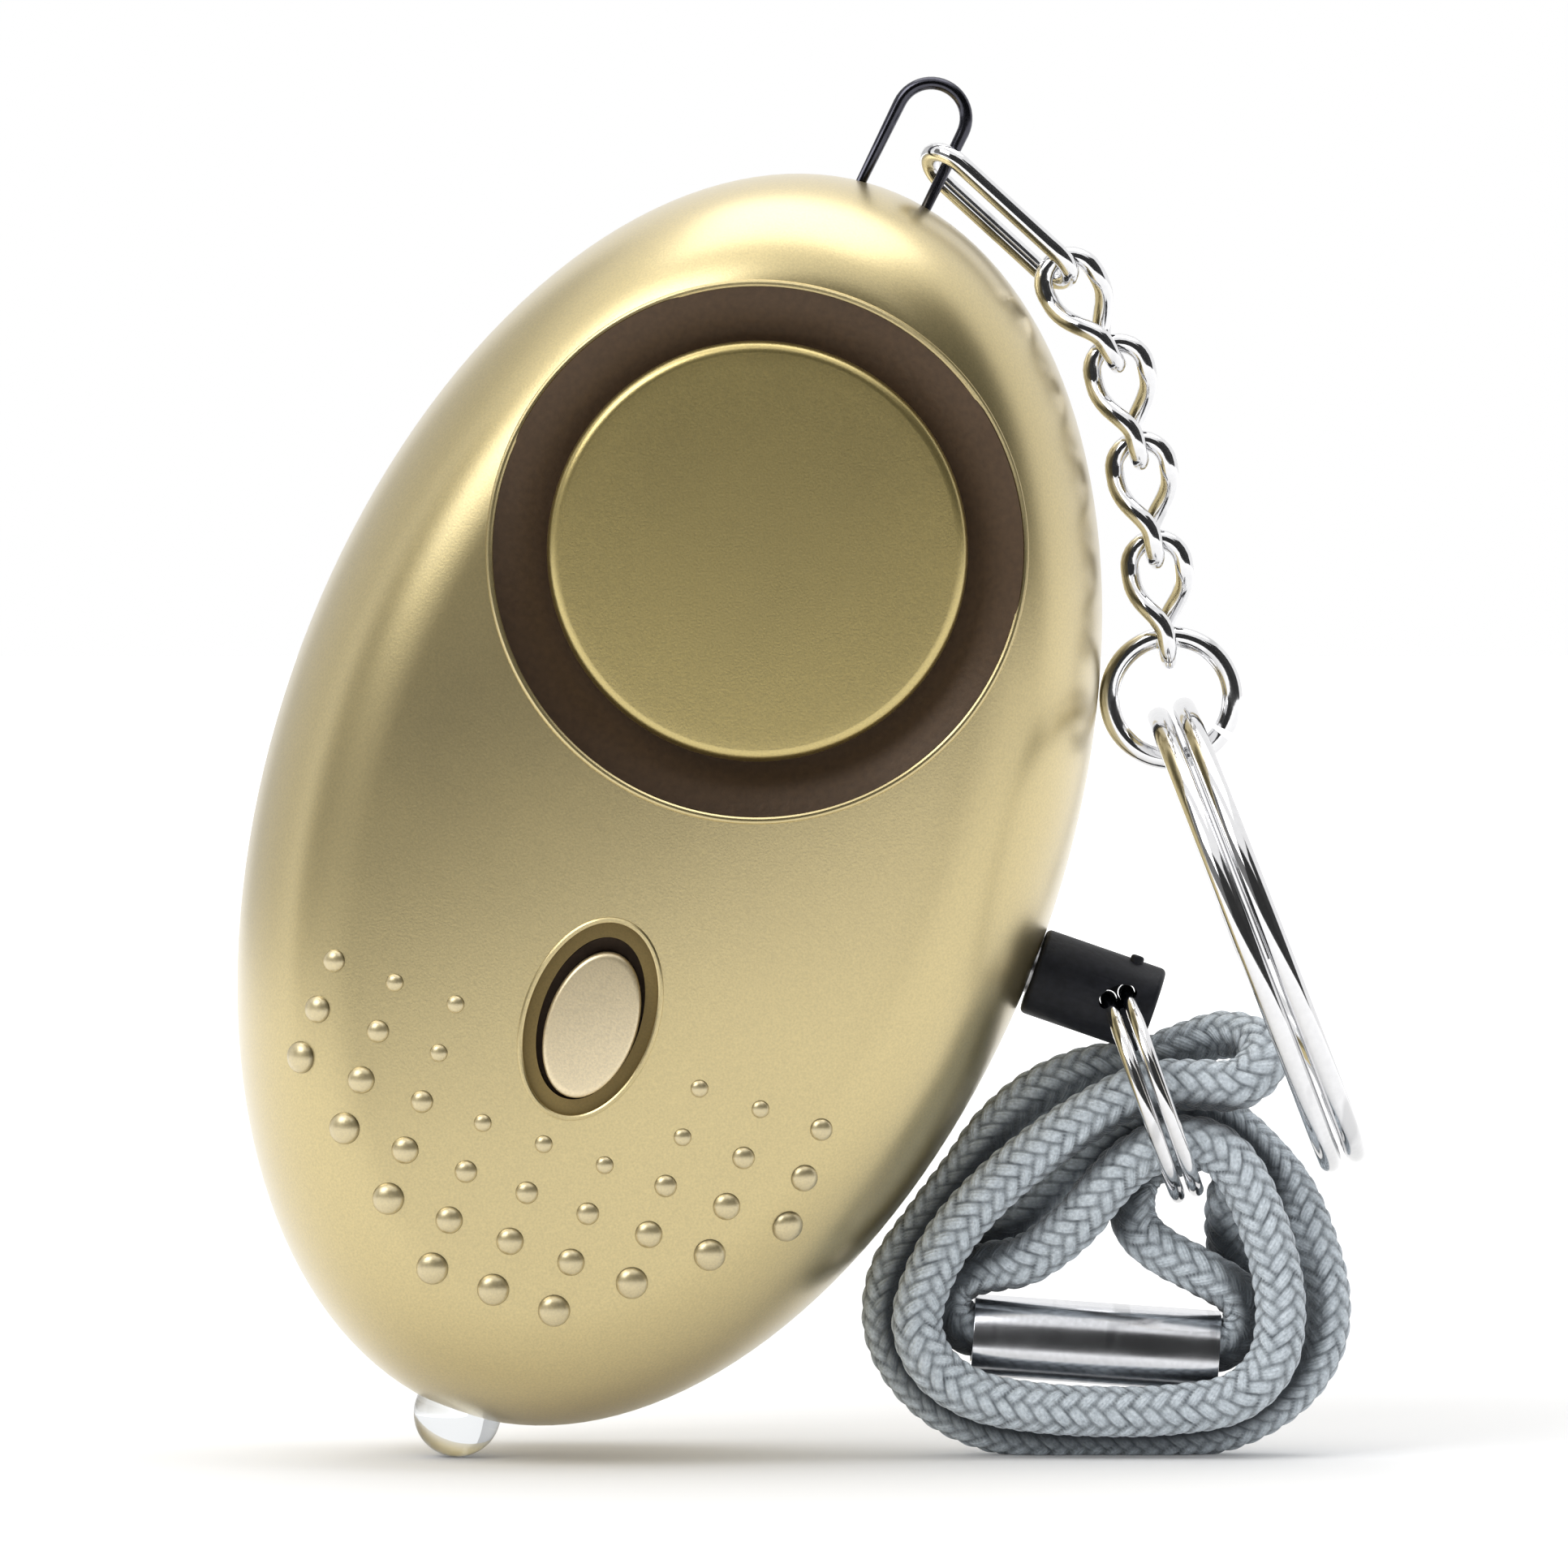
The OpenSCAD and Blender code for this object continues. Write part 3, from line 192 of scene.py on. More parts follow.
def lamp(name, place, size, power):
    data = bpy.data.lights.new(name, "AREA")
    data.shape = "RECTANGLE"
    data.size, data.size_y = size
    data.energy = power
    obj = bpy.data.objects.new(name, data)
    obj.location = place
    aim = Vector(LIT_PLACE) - Vector(place)
    obj.rotation_euler = aim.to_track_quat("-Z", "Y").to_euler()
    bpy.context.scene.collection.objects.link(obj)


def seen_rays(tree):
    """1 for the rays that look at or mirror the backdrop, 0 for those that light a surface."""
    path = tree.nodes.new("ShaderNodeLightPath")
    first = tree.nodes.new("ShaderNodeMath")
    first.operation = "MAXIMUM"
    second = tree.nodes.new("ShaderNodeMath")
    second.operation = "MAXIMUM"
    tree.links.new(path.outputs["Is Camera Ray"], first.inputs[0])
    tree.links.new(path.outputs["Is Glossy Ray"], first.inputs[1])
    tree.links.new(first.outputs[0], second.inputs[0])
    tree.links.new(path.outputs["Is Transmission Ray"], second.inputs[1])
    return second.outputs[0]


def set_world():
    world = bpy.data.worlds.new("studio")
    bpy.context.scene.world = world
    world.use_nodes = True
    tree = world.node_tree
    back = tree.nodes["Background"]
    back.inputs["Color"].default_value = (1, 1, 1, 1)
    tree.links.new(ranged(tree, seen_rays(tree), WORLD_LIGHT, 1.0), back.inputs["Strength"])


def card(name, width, height, place, turn, tone):
    """A plain grey board of the studio, tipped up and then turned by angles in degrees."""
    clear_selection()
    bpy.ops.mesh.primitive_plane_add(size=1, location=(0, 0, 0))
    obj = bpy.context.object
    obj.name = name
    obj.data.transform(Matrix.Diagonal((width, height, 1, 1)))
    obj.data.transform(
        Matrix.Translation(place)
        @ Matrix.Rotation(math.radians(turn[1]), 4, "Z")
        @ Matrix.Rotation(math.radians(turn[0]), 4, "X")
    )
    board = bpy.data.materials.new(name)
    board.use_nodes = True
    shader = board.node_tree.nodes["Principled BSDF"]
    shader.inputs["Base Color"].default_value = (tone, tone, tone, 1)
    shader.inputs["Roughness"].default_value = 0.9
    obj.data.materials.append(board)
    return obj


def flag(name, width, height, place, turn, tone):
    """A dark board that only shows as a reflection in the metal and shades nothing."""
    board = card(name, width, height, place, turn, tone)
    board.visible_camera = False
    board.visible_diffuse = False
    board.visible_shadow = False


def set_floor():
    """A pale floor that is lit round the object and fades to the white backdrop farther off."""
    floor = card("floor", 3.0, 1.6, (0, 0.3, 0), (0, 0), FLOOR_TONE)
    tree = floor.data.materials[0].node_tree
    shader = tree.nodes["Principled BSDF"]
    shader.inputs["Emission Color"].default_value = (1, 1, 1, 1)
    place = tree.nodes.new("ShaderNodeTexCoord")
    away = tree.nodes.new("ShaderNodeVectorMath")
    away.operation = "LENGTH"
    tree.links.new(place.outputs["Object"], away.inputs[0])
    fade = tree.nodes.new("ShaderNodeMapRange")
    fade.inputs["From Min"].default_value = FLOOR_NEAR
    fade.inputs["From Max"].default_value = FLOOR_FAR
    fade.inputs["To Min"].default_value = GLOW_NEAR
    fade.inputs["To Max"].default_value = GLOW_FAR
    tree.links.new(away.outputs["Value"], fade.inputs["Value"])
    glow = tree.nodes.new("ShaderNodeMath")
    glow.operation = "MULTIPLY"
    tree.links.new(seen_rays(tree), glow.inputs[0])
    tree.links.new(fade.outputs["Result"], glow.inputs[1])
    tree.links.new(glow.outputs[0], shader.inputs["Emission Strength"])


def set_studio():
    set_camera()
    set_world()
    set_floor()
    flag("front_flag", 2.4, 1.05, (0.1, -1.05, 0.515), (90, 0), BLACK)
    flag("low_flag", 2.0, 0.65, (0, -0.67, 0.002), (0, 0), BLACK)
    flag("right_flag", 0.6, 0.8, (0.62, -0.3, 0.4), (90, 65), BLACK)
    flag("left_flag", 0.8, 0.8, (-0.72, -0.38, 0.4), (90, -62), 0.2)
    flag("rear_left_flag", 0.9, 0.9, (-0.75, 0.55, 0.45), (90, -126), 0.75)
    lamp("key_lamp", (-0.45, -0.4, 0.55), (0.45, 0.45), 2.6)
    lamp("top_lamp", (0.05, 0.12, 0.7), (0.7, 0.5), 2.2)
    bpy.context.scene.view_settings.view_transform = "Standard"


# Finishes
def new_group(name, inputs, outputs):
    """A node group whose inputs have the given values and whose inputs and outputs are numbers."""
    group = bpy.data.node_groups.new(name, "ShaderNodeTree")
    for label, value in inputs:
        socket = group.interface.new_socket(label, in_out="INPUT", socket_type="NodeSocketFloat")
        socket.default_value = value
    for label in outputs:
        group.interface.new_socket(label, in_out="OUTPUT", socket_type="NodeSocketFloat")
    return group, group.nodes.new("NodeGroupInput"), group.nodes.new("NodeGroupOutput")


def picked(tree, source, low, high):
    """0 where a value is below a low mark, 1 above a high one and a ramp in between."""
    node = tree.nodes.new("ShaderNodeMapRange")
    node.inputs["From Min"].default_value = low
    node.inputs["From Max"].default_value = high
    tree.links.new(source, node.inputs["Value"])
    return node.outputs["Result"]


def make_grain_group():
    """Fine speckle and broad clouding of a surface, both from 0 to 1."""
    group, given, out = new_group(
        "surface_grain", (("Fine Scale", 5000.0), ("Broad Scale", 120.0)), ("Fine", "Broad")
    )
    place = group.nodes.new("ShaderNodeTexCoord")
    for label, detail in (("Fine", 3.0), ("Broad", 4.0)):
        noise = group.nodes.new("ShaderNodeTexNoise")
        noise.inputs["Detail"].default_value = detail
        group.links.new(place.outputs["Object"], noise.inputs["Vector"])
        group.links.new(given.outputs[label + " Scale"], noise.inputs["Scale"])
        group.links.new(picked(group, noise.outputs["Fac"], 0.3, 0.7), out.inputs[label])
    return group


def make_scratch_group():
    """Short hairlines in two directions, 1 in a line and 0 beside it."""
    group, given, out = new_group("hairlines", (("Scale", 900.0),), ("Lines",))
    place = group.nodes.new("ShaderNodeTexCoord")
    both = group.nodes.new("ShaderNodeMath")
    both.operation = "MAXIMUM"
    for turn, end in zip((0.4, 1.7), both.inputs):
        lay = group.nodes.new("ShaderNodeMapping")
        lay.inputs["Rotation"].default_value = (turn, turn * 0.6, turn * 1.3)
        lay.inputs["Scale"].default_value = (1.0, 0.04, 0.3)
        group.links.new(place.outputs["Object"], lay.inputs["Vector"])
        noise = group.nodes.new("ShaderNodeTexNoise")
        noise.inputs["Detail"].default_value = 1.0
        group.links.new(lay.outputs["Vector"], noise.inputs["Vector"])
        group.links.new(given.outputs["Scale"], noise.inputs["Scale"])
        group.links.new(picked(group, noise.outputs["Fac"], 0.66, 0.72), end)
    group.links.new(both.outputs[0], out.inputs["Lines"])
    return group


GRAIN = make_grain_group()
HAIRLINES = make_scratch_group()
FINISHES = {}


def place_group(tree, group, **values):
    node = tree.nodes.new("ShaderNodeGroup")
    node.node_tree = group
    for label, value in values.items():
        node.inputs[label.replace("_", " ")].default_value = value
    return node


def ranged(tree, source, low, high):
    """A value from 0 to 1 spread between two others."""
    node = tree.nodes.new("ShaderNodeMapRange")
    node.inputs["To Min"].default_value = low
    node.inputs["To Max"].default_value = high
    tree.links.new(source, node.inputs["Value"])
    return node.outputs["Result"]


def mixed(tree, factor, first, second):
    """A colour between two, each a plain colour or the output of a node."""
    node = tree.nodes.new("ShaderNodeMix")
    node.data_type = "RGBA"
    tree.links.new(factor, node.inputs["Factor"])
    for end, label in ((first, "A"), (second, "B")):
        socket = next(s for s in node.inputs if s.name == label and s.type == "RGBA")
        if isinstance(end, tuple):
            socket.default_value = (*end, 1)
        else:
            tree.links.new(end, socket)
    return next(s for s in node.outputs if s.type == "RGBA")


def bumped(tree, height, distance, strength):
    node = tree.nodes.new("ShaderNodeBump")
    node.inputs["Distance"].default_value = distance
    node.inputs["Strength"].default_value = strength
    tree.links.new(height, node.inputs["Height"])
    return node.outputs["Normal"]


def attribute(tree, label):
    node = tree.nodes.new("ShaderNodeAttribute")
    node.attribute_name = label
    return node.outputs["Fac"]


def shaded(colour, amount):
    return tuple(c * amount for c in colour)


def new_finish(name):
    """A material kept under a name, with its node tree and its shader."""
    material = bpy.data.materials.new(name)
    material.use_nodes = True
    FINISHES[name] = material
    return material.node_tree, material.node_tree.nodes["Principled BSDF"]


def finish(
    name, colour, metallic, roughness, spread=0.06, rough_spread=0.06, fine=5000.0, broad=120.0,
    relief=0.00001, bump=0.15, lines=None, foot=None, shine=0.5, coat=0.0,
):
    """A surface with speckle, clouding, fine relief, hairlines on metal, lacquer on paint and
    painted shade where a foot mask is given.
    """
    tree, shader = new_finish(name)
    shader.inputs["Metallic"].default_value = metallic
    shader.inputs["Specular IOR Level"].default_value = shine
    shader.inputs["Coat Weight"].default_value = coat
    shader.inputs["Coat Roughness"].default_value = COAT_ROUGHNESS
    shader.inputs["Coat IOR"].default_value = COAT_IOR
    grain = place_group(tree, GRAIN, Fine_Scale=fine, Broad_Scale=broad)
    height = grain.outputs["Fine"]
    tone = mixed(tree, height, shaded(colour, 1 - spread), shaded(colour, 1 + spread))
    rough = ranged(tree, grain.outputs["Broad"], roughness - rough_spread, roughness + rough_spread)
    if lines:
        height = place_group(tree, HAIRLINES, Scale=lines).outputs["Lines"]
        tone = mixed(tree, height, tone, shaded(colour, LINE_SHADE))
    # A foot mask paints shade towards the foot of a bead.
    if foot:
        tone = mixed(tree, attribute(tree, foot), tone, shaded(colour, FOOT_SHADE))
    tree.links.new(tone, shader.inputs["Base Color"])
    tree.links.new(rough, shader.inputs["Roughness"])
    tree.links.new(bumped(tree, height, relief, bump), shader.inputs["Normal"])


def make_gold_finishes():
    """The shells' gold, and its tones on the cap and the button; a paler gold on the beads is
    painted light with painted shade at their feet, and a darker, duller gold on the sunken ring is
    painted shade.
    """
    paint = {"fine": 9000, "broad": 60, "rough_spread": 0.03}
    shell = {"metallic": 0.94, "roughness": 0.32, "spread": 0.10, "bump": 0.25}
    finish("gold_paint", (0.58, 0.462, 0.19), coat=1.0, **shell, **paint)
    finish("gold_cap", (0.545, 0.425, 0.13), coat=0.8, **shell, **paint)
    # The beads' paler gold stands in for the light they catch, as painted light.
    finish(
        "gold_beads_painted_light_and_shade", (0.64, 0.53, 0.28), 0.8, 0.4, spread=0.08, bump=0.2, foot="foot", coat=1.0,
        **paint,
    )
    finish(
        "gold_button", (0.82, 0.68, 0.42), 0.85, 0.42, spread=0.10, bump=0.3, coat=1.0, **paint
    )
    # A darker, duller copy of the shell's gold, painted as shade in the sunken ring.
    finish(
        "gold_sunk_painted_shade", (0.24, 0.17, 0.052), 0.2, 0.5, spread=0.1, rough_spread=0.04, fine=9000,
        broad=60,
    )


def make_metal_finishes():
    finish(
        "bright_chrome", (0.80, 0.80, 0.81), 1.0, 0.09, spread=0.03, rough_spread=0.03, fine=3000,
        broad=400, relief=0.000004, bump=0.2, lines=700,
    )
    finish(
        "plain_steel", (0.55, 0.55, 0.56), 1.0, 0.28, fine=4000, broad=300, relief=0.000006,
        bump=0.25, lines=900,
    )
    finish(
        "brushed_steel", (0.74, 0.75, 0.78), 1.0, 0.19, rough_spread=0.04, fine=4000, broad=300,
        relief=0.000004, bump=0.2, lines=800,
    )
    # The staple's chrome wire is coloured near-black, as a painted dark reflection.
    finish(
        "dark_wire", (0.07, 0.07, 0.085), 1.0, 0.22, spread=0.1, fine=3000, broad=300,
        relief=0.000006, bump=0.25, lines=900,
    )
    finish("spring_brass", (0.70, 0.50, 0.20), 1.0, 0.3, lines=900)
    finish("copper_wire", (0.65, 0.27, 0.12), 1.0, 0.3, lines=1200)


def make_plain_finishes():
    """Plastics, the recess and what the case holds; the recess's dark brown also stands as painted
    shade on the opening's wall and in the button's well.
    """
    finish(
        "dark_recess", (0.08, 0.046, 0.022), 0.35, 0.46, spread=0.12, rough_spread=0.05, fine=3000,
        broad=200, relief=0.00002, bump=0.3,
    )
    finish(
        "black_plastic", (0.010, 0.011, 0.015), 0.0, 0.5, spread=0.25, rough_spread=0.08, fine=2600,
        broad=300, relief=0.00003, bump=0.35, shine=0.22,
    )
    finish("white_plastic", (0.8, 0.8, 0.78), 0.0, 0.4)
    finish("ceramic", (0.75, 0.74, 0.70), 0.0, 0.5)
    finish("lead_insulation", (0.5, 0.03, 0.02), 0.0, 0.4)
    finish(
        "board", (0.02, 0.15, 0.06), 0.0, 0.35, spread=0.2, rough_spread=0.08, fine=1500, broad=300
    )
    finish("ferrite", (0.05, 0.05, 0.055), 0.0, 0.6, spread=0.2)


def make_lens_finish():
    tree, shader = new_finish("clear_lens")
    shader.inputs["Base Color"].default_value = (0.95, 0.97, 0.98, 1)
    shader.inputs["Transmission Weight"].default_value = 1.0
    shader.inputs["IOR"].default_value = 1.5
    grain = place_group(tree, GRAIN, Fine_Scale=900.0, Broad_Scale=300.0)
    tree.links.new(ranged(tree, grain.outputs["Broad"], 0.01, 0.06), shader.inputs["Roughness"])
    tree.links.new(bumped(tree, grain.outputs["Broad"], 0.00002, 0.1), shader.inputs["Normal"])


def make_braid_finish():
    """Grey yarn, with painted shade between the plaits and where strands meet; the plaits' backs
    keep the paler yarn.
    """
    dark_yarn, pale_yarn, worn_yarn = (0.48, 0.535, 0.585), (0.80, 0.875, 0.94), (0.58, 0.645, 0.70)
    plait_shade_colour, strand_shade_colour = (0.11, 0.13, 0.15), (0.05, 0.06, 0.07)
    tree, shader = new_finish("grey_braid")
    shader.inputs["Sheen Weight"].default_value = 0.25
    shader.inputs["Sheen Roughness"].default_value = 0.5
    shader.inputs["Specular IOR Level"].default_value = 0.3
    grain = place_group(tree, GRAIN, Fine_Scale=5500.0, Broad_Scale=500.0)
    waves = tree.nodes.new("ShaderNodeMath")
    waves.operation = "MULTIPLY"
    waves.inputs[1].default_value = 2 * math.pi * THREADS
    tree.links.new(attribute(tree, "thread"), waves.inputs[0])
    threads = tree.nodes.new("ShaderNodeMath")
    threads.operation = "COSINE"
    tree.links.new(waves.outputs[0], threads.inputs[0])
    relief = tree.nodes.new("ShaderNodeMath")
    relief.operation = "MULTIPLY_ADD"
    relief.inputs[1].default_value = -0.35
    tree.links.new(threads.outputs[0], relief.inputs[0])
    tree.links.new(grain.outputs["Fine"], relief.inputs[2])
    yarn = mixed(tree, grain.outputs["Fine"], dark_yarn, pale_yarn)
    clouded = mixed(tree, ranged(tree, grain.outputs["Broad"], 0, 0.25), yarn, worn_yarn)
    # The plait mask paints shade in the hollows between the plaits.
    plait_shaded = mixed(tree, attribute(tree, "plait"), plait_shade_colour, clouded)
    # The strand mask paints shade where strands lie close together.
    strand_shade = ranged(tree, attribute(tree, "painted_strand_shade"), 0, 0.95)
    tree.links.new(mixed(tree, strand_shade, plait_shaded, strand_shade_colour), shader.inputs["Base Color"])
    tree.links.new(ranged(tree, grain.outputs["Broad"], 0.8, 0.95), shader.inputs["Roughness"])
    tree.links.new(bumped(tree, relief.outputs[0], 0.00007, 0.6), shader.inputs["Normal"])


def make_finishes():
    make_gold_finishes()
    make_metal_finishes()
    make_plain_finishes()
    make_lens_finish()
    make_braid_finish()


# Ways of shaping
def clear_selection():
    if bpy.context.object and bpy.context.object.mode != "OBJECT":
        bpy.ops.object.mode_set(mode="OBJECT")
    bpy.ops.object.select_all(action="DESELECT")


def take(obj):
    clear_selection()
    obj.select_set(True)
    bpy.context.view_layer.objects.active = obj


def edit(obj):
    """Opens a piece for editing, with all of it selected."""
    take(obj)
    bpy.ops.object.mode_set(mode="EDIT")
    bpy.ops.mesh.select_all(action="SELECT")


def leave():
    bpy.ops.object.mode_set(mode="OBJECT")


def close_up(obj, near=0.0005):
    """Merges doubled corners and turns the faces outwards."""
    edit(obj)
    bpy.ops.mesh.remove_doubles(threshold=near)
    bpy.ops.mesh.normals_make_consistent(inside=False)
    leave()
    return obj


def stacked(name, levels, sides=AROUND, pointed=False):
    """A solid from rings, each as half length, half width and height, from the lowest up."""
    clear_selection()
    half_l, half_w, z = levels[0]
    bpy.ops.mesh.primitive_circle_add(vertices=sides, radius=1, fill_type="NGON")
    obj = bpy.context.object
    obj.name = name
    obj.data.transform(Matrix.Translation((0, 0, z)) @ Matrix.Diagonal((half_w, half_l, 1, 1)))
    edit(obj)
    for next_l, next_w, next_z in levels[1:]:
        bpy.ops.mesh.extrude_region_move(TRANSFORM_OT_translate={"value": (0, 0, next_z - z)})
        bpy.ops.transform.resize(
            value=(next_w / half_w, next_l / half_l, 1), center_override=(0, 0, next_z)
        )
        half_l, half_w, z = next_l, next_w, next_z
    if pointed:
        bpy.ops.mesh.poke()
    bpy.ops.mesh.select_all(action="SELECT")
    bpy.ops.mesh.normals_make_consistent(inside=False)
    leave()
    return obj


def rod(name, radius, start, end, sides=64):
    """A round cutter or stem along the upright axis."""
    return stacked(name, [(radius, radius, start), (radius, radius, end)], sides)


def drawn(name, points):
    """A line of corners in edit mode, drawn by pulling one corner from point to point."""
    clear_selection()
    bpy.ops.mesh.primitive_plane_add(size=1)
    obj = bpy.context.object
    obj.name = name
    edit(obj)
    bpy.ops.mesh.merge(type="CENTER")
    bpy.ops.transform.translate(value=points[0])
    for before, after in zip(points, points[1:]):
        step = tuple(b - a for a, b in zip(before, after))
        bpy.ops.mesh.extrude_region_move(TRANSFORM_OT_translate={"value": step})
    bpy.ops.mesh.select_all(action="SELECT")
    return obj


def lathed(name, profile, steps=96):
    """Turns a profile of radius and height about the upright axis."""
    obj = drawn(name, [(r, 0, z) for r, z in profile])
    bpy.ops.mesh.spin(steps=steps, angle=2 * math.pi, center=(0, 0, 0), axis=(0, 0, 1))
    leave()
    return close_up(obj)


def arc(middle, radius, start, end, steps):
    angles = [math.radians(start + (end - start) * i / steps) for i in range(steps + 1)]
    return [
        (middle[0] + radius * math.cos(a), middle[1] + radius * math.sin(a)) for a in angles
    ]


def cut(obj, tool, colour=None):
    """Cuts a tool out of a piece; the cut faces may take a finish of their own."""
    if colour:
        tool.data.materials.clear()
        tool.data.materials.append(FINISHES[colour])
    take(obj)
    way = obj.modifiers.new("cut", "BOOLEAN")
    way.operation = "DIFFERENCE"
    way.solver = "EXACT"
    way.object = tool
    way.material_mode = "TRANSFER" if colour else "INDEX"
    bpy.ops.object.modifier_apply(modifier="cut")
    bpy.data.objects.remove(tool)


def rounded(obj, width, segments=2, angle=50):
    take(obj)
    way = obj.modifiers.new("edge", "BEVEL")
    way.width = width
    way.segments = segments
    way.limit_method = "ANGLE"
    way.angle_limit = math.radians(angle)
    bpy.ops.object.modifier_apply(modifier="edge")


def moved(obj, matrix):
    obj.data.transform(matrix)
    obj.data.update()
    return obj


def copied(obj):
    copy = obj.copy()
    copy.data = obj.data.copy()
    bpy.context.scene.collection.objects.link(copy)
    return copy


def wire(name, points, thick, closed=False, sides=5):
    """A round wire bent along points, made a mesh."""
    clear_selection()
    data = bpy.data.curves.new(name, "CURVE")
    data.dimensions = "3D"
    data.bevel_depth = thick / 2
    data.bevel_resolution = sides
    data.use_fill_caps = not closed
    line = data.splines.new("POLY")
    line.points.add(len(points) - 1)
    for point, place in zip(line.points, points):
        point.co = (*place, 1)
    line.use_cyclic_u = closed
    obj = bpy.data.objects.new(name, data)
    bpy.context.scene.collection.objects.link(obj)
    take(obj)
    bpy.ops.object.convert(target="MESH")
    return close_up(bpy.context.object, 0.0001)


def joined(name, parts):
    clear_selection()
    for part in parts:
        part.select_set(True)
    bpy.context.view_layer.objects.active = parts[0]
    bpy.ops.object.join()
    parts[0].name = name
    return parts[0]


def settle(obj, place, colour, body, nodes=(), angle=35):
    """Sets a finished piece in its place, paints it and hangs it on its body."""
    obj.data.transform(Matrix.Scale(MM, 4) @ place)
    if colour:
        obj.data.materials.clear()
        obj.data.materials.append(FINISHES[colour])
    take(obj)
    bpy.ops.object.shade_smooth_by_angle(angle=math.radians(angle))
    if nodes:
        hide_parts(*nodes)
    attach(obj, body)
    return obj


def ease(s):
    """A smooth step from 0 to 1, level at both ends and beyond them."""
    s = min(1, max(0, s))
    return s * s * (3 - 2 * s)


# The shell of the egg
def front_levels(inside):
    """Rings of the front, or of its inner wall, from the parting plane to the crown."""
    half_l, half_w, edge = HALF_L - inside, HALF_W - inside, FRONT_EDGE - inside
    top = FRONT_D - inside - CROWN
    rows = []
    for i in range(EDGE_STEPS + 1):
        a = EDGE_STOP * i / EDGE_STEPS
        d = edge * (1 - math.cos(a)) / (1 - math.cos(EDGE_STOP))
        rows.append((half_l - d, half_w - d, top * math.sin(a) / math.sin(EDGE_STOP)))
    for i in range(1, CROWN_STEPS):
        s = 1 - i / CROWN_STEPS
        rows.append(((half_l - edge) * s, (half_w - edge) * s, top + CROWN * (1 - s * s)))
    return rows


def rear_levels(inside):
    """Rings of the back, or of its inner wall, from the parting plane to the flat."""
    half_l, half_w, edge = HALF_L - inside, HALF_W - inside, REAR_EDGE - inside
    rows = []
    for i in range(EDGE_STEPS + 1):
        a = QUARTER * i / EDGE_STEPS
        d = edge * (1 - math.cos(a))
        rows.append((half_l - d, half_w - d, (REAR_D - inside) * math.sin(a)))
    return rows


def eased_foot(levels):
    """A small rounded edge where the two shells meet."""
    half_l, half_w, _ = levels[0]
    rest = PARTING * PARTING_EASE
    foot = [(half_l - PARTING, half_w - PARTING, 0.0), (half_l - rest, half_w - rest, rest)]
    return foot + [row for row in levels if row[2] > PARTING]


def with_sunk_foot(levels):
    """Starts a hollow below the parting plane, so that it cuts through."""
    half_l, half_w, _ = levels[0]
    return [(half_l, half_w, -CUT_OVER)] + levels


def front_depth(u, v):
    """Depth of the front at a place along and across the egg."""
    top = FRONT_D - CROWN
    s = math.hypot(u / (HALF_L - FRONT_EDGE), v / (HALF_W - FRONT_EDGE))
    if s <= 1:
        return top + CROWN * (1 - s * s)
    low, high = 0.0, FRONT_EDGE
    for _ in range(30):
        d = (low + high) / 2
        if (u / (HALF_L - d)) ** 2 + (v / (HALF_W - d)) ** 2 < 1:
            low = d
        else:
            high = d
    a = math.acos(1 - low / FRONT_EDGE * (1 - math.cos(EDGE_STOP)))
    return top * math.sin(a) / math.sin(EDGE_STOP)


def front_normal(u, v):
    step = 0.05
    du = (front_depth(u + step, v) - front_depth(u - step, v)) / (2 * step)
    dv = (front_depth(u, v + step) - front_depth(u, v - step)) / (2 * step)
    return Vector((-dv, -du, 1)).normalized()


def oval(name, length, width, start):
    """An upright oval cutter over the button's well, out through the front."""
    tool = rod(name, 1, start, FRONT_D + CUT_OVER, 96)
    spot = Matrix.Translation((WELL_V, -WELL_U, 0))
    return moved(tool, spot @ Matrix.Diagonal((width / 2, length / 2, 1, 1)))


def shell_holes(place):
    """Tools for the pin, the lamp and the staple, in the frame of a shell."""
    back = place.inverted()
    pin = rod("pin_tool", PIN_R + HOLE_GAP, HALF_W - 2 * WALL, HALF_W + WALL, 48)
    lamp_end = LAMP_U + LAMP_IN - CUT_OVER
    bulb = rod("lamp_tool", LAMP_R + LAMP_GAP, LAMP_U - CUT_OVER, lamp_end)
    tools = [moved(pin, back @ ACROSS), moved(bulb, back @ POSED)]
    for side in (-1, 1):
        leg = rod("leg_tool", STAPLE_WIRE / 2 + HOLE_GAP, -STAPLE_ROOT, CUT_OVER, 24)
        tools.append(
            moved(leg, back @ STAPLE @ Matrix.Translation((side * STAPLE_W / 2, 0, 0)))
        )
    return tools


def make_front_shell():
    shell = stacked("front_cover", eased_foot(front_levels(0)), pointed=True)
    shell.data.materials.append(FINISHES["gold_paint"])
    cut(shell, stacked("hollow_tool", with_sunk_foot(front_levels(WALL)), pointed=True))
    opening = rod("opening_tool", OPENING_R, COLLAR_END, FRONT_D + CUT_OVER, AROUND)
    # The opening's wall takes the dark finish as painted shade in the groove round the cap.
    cut(shell, moved(opening, Matrix.Translation((0, SOUNDER_U, 0))), "dark_recess")
    sunk_floor = front_depth(BUTTON_U, 0) - SUNK_DEPTH
    # The sunken ring's faces take a darker, duller gold as painted shade.
    cut(shell, oval("sunk_tool", SUNK_L, SUNK_W, sunk_floor), "gold_sunk_painted_shade")
    # The well's walls take the dark finish as painted shade in the gap round the button.
    cut(shell, oval("well_tool", WELL_L, WELL_W, WELL_END), "dark_recess")
    for tool in shell_holes(FACING):
        cut(shell, tool)
    settle(shell, FACING, None, "alarm_body", ("front_shell",), 30)


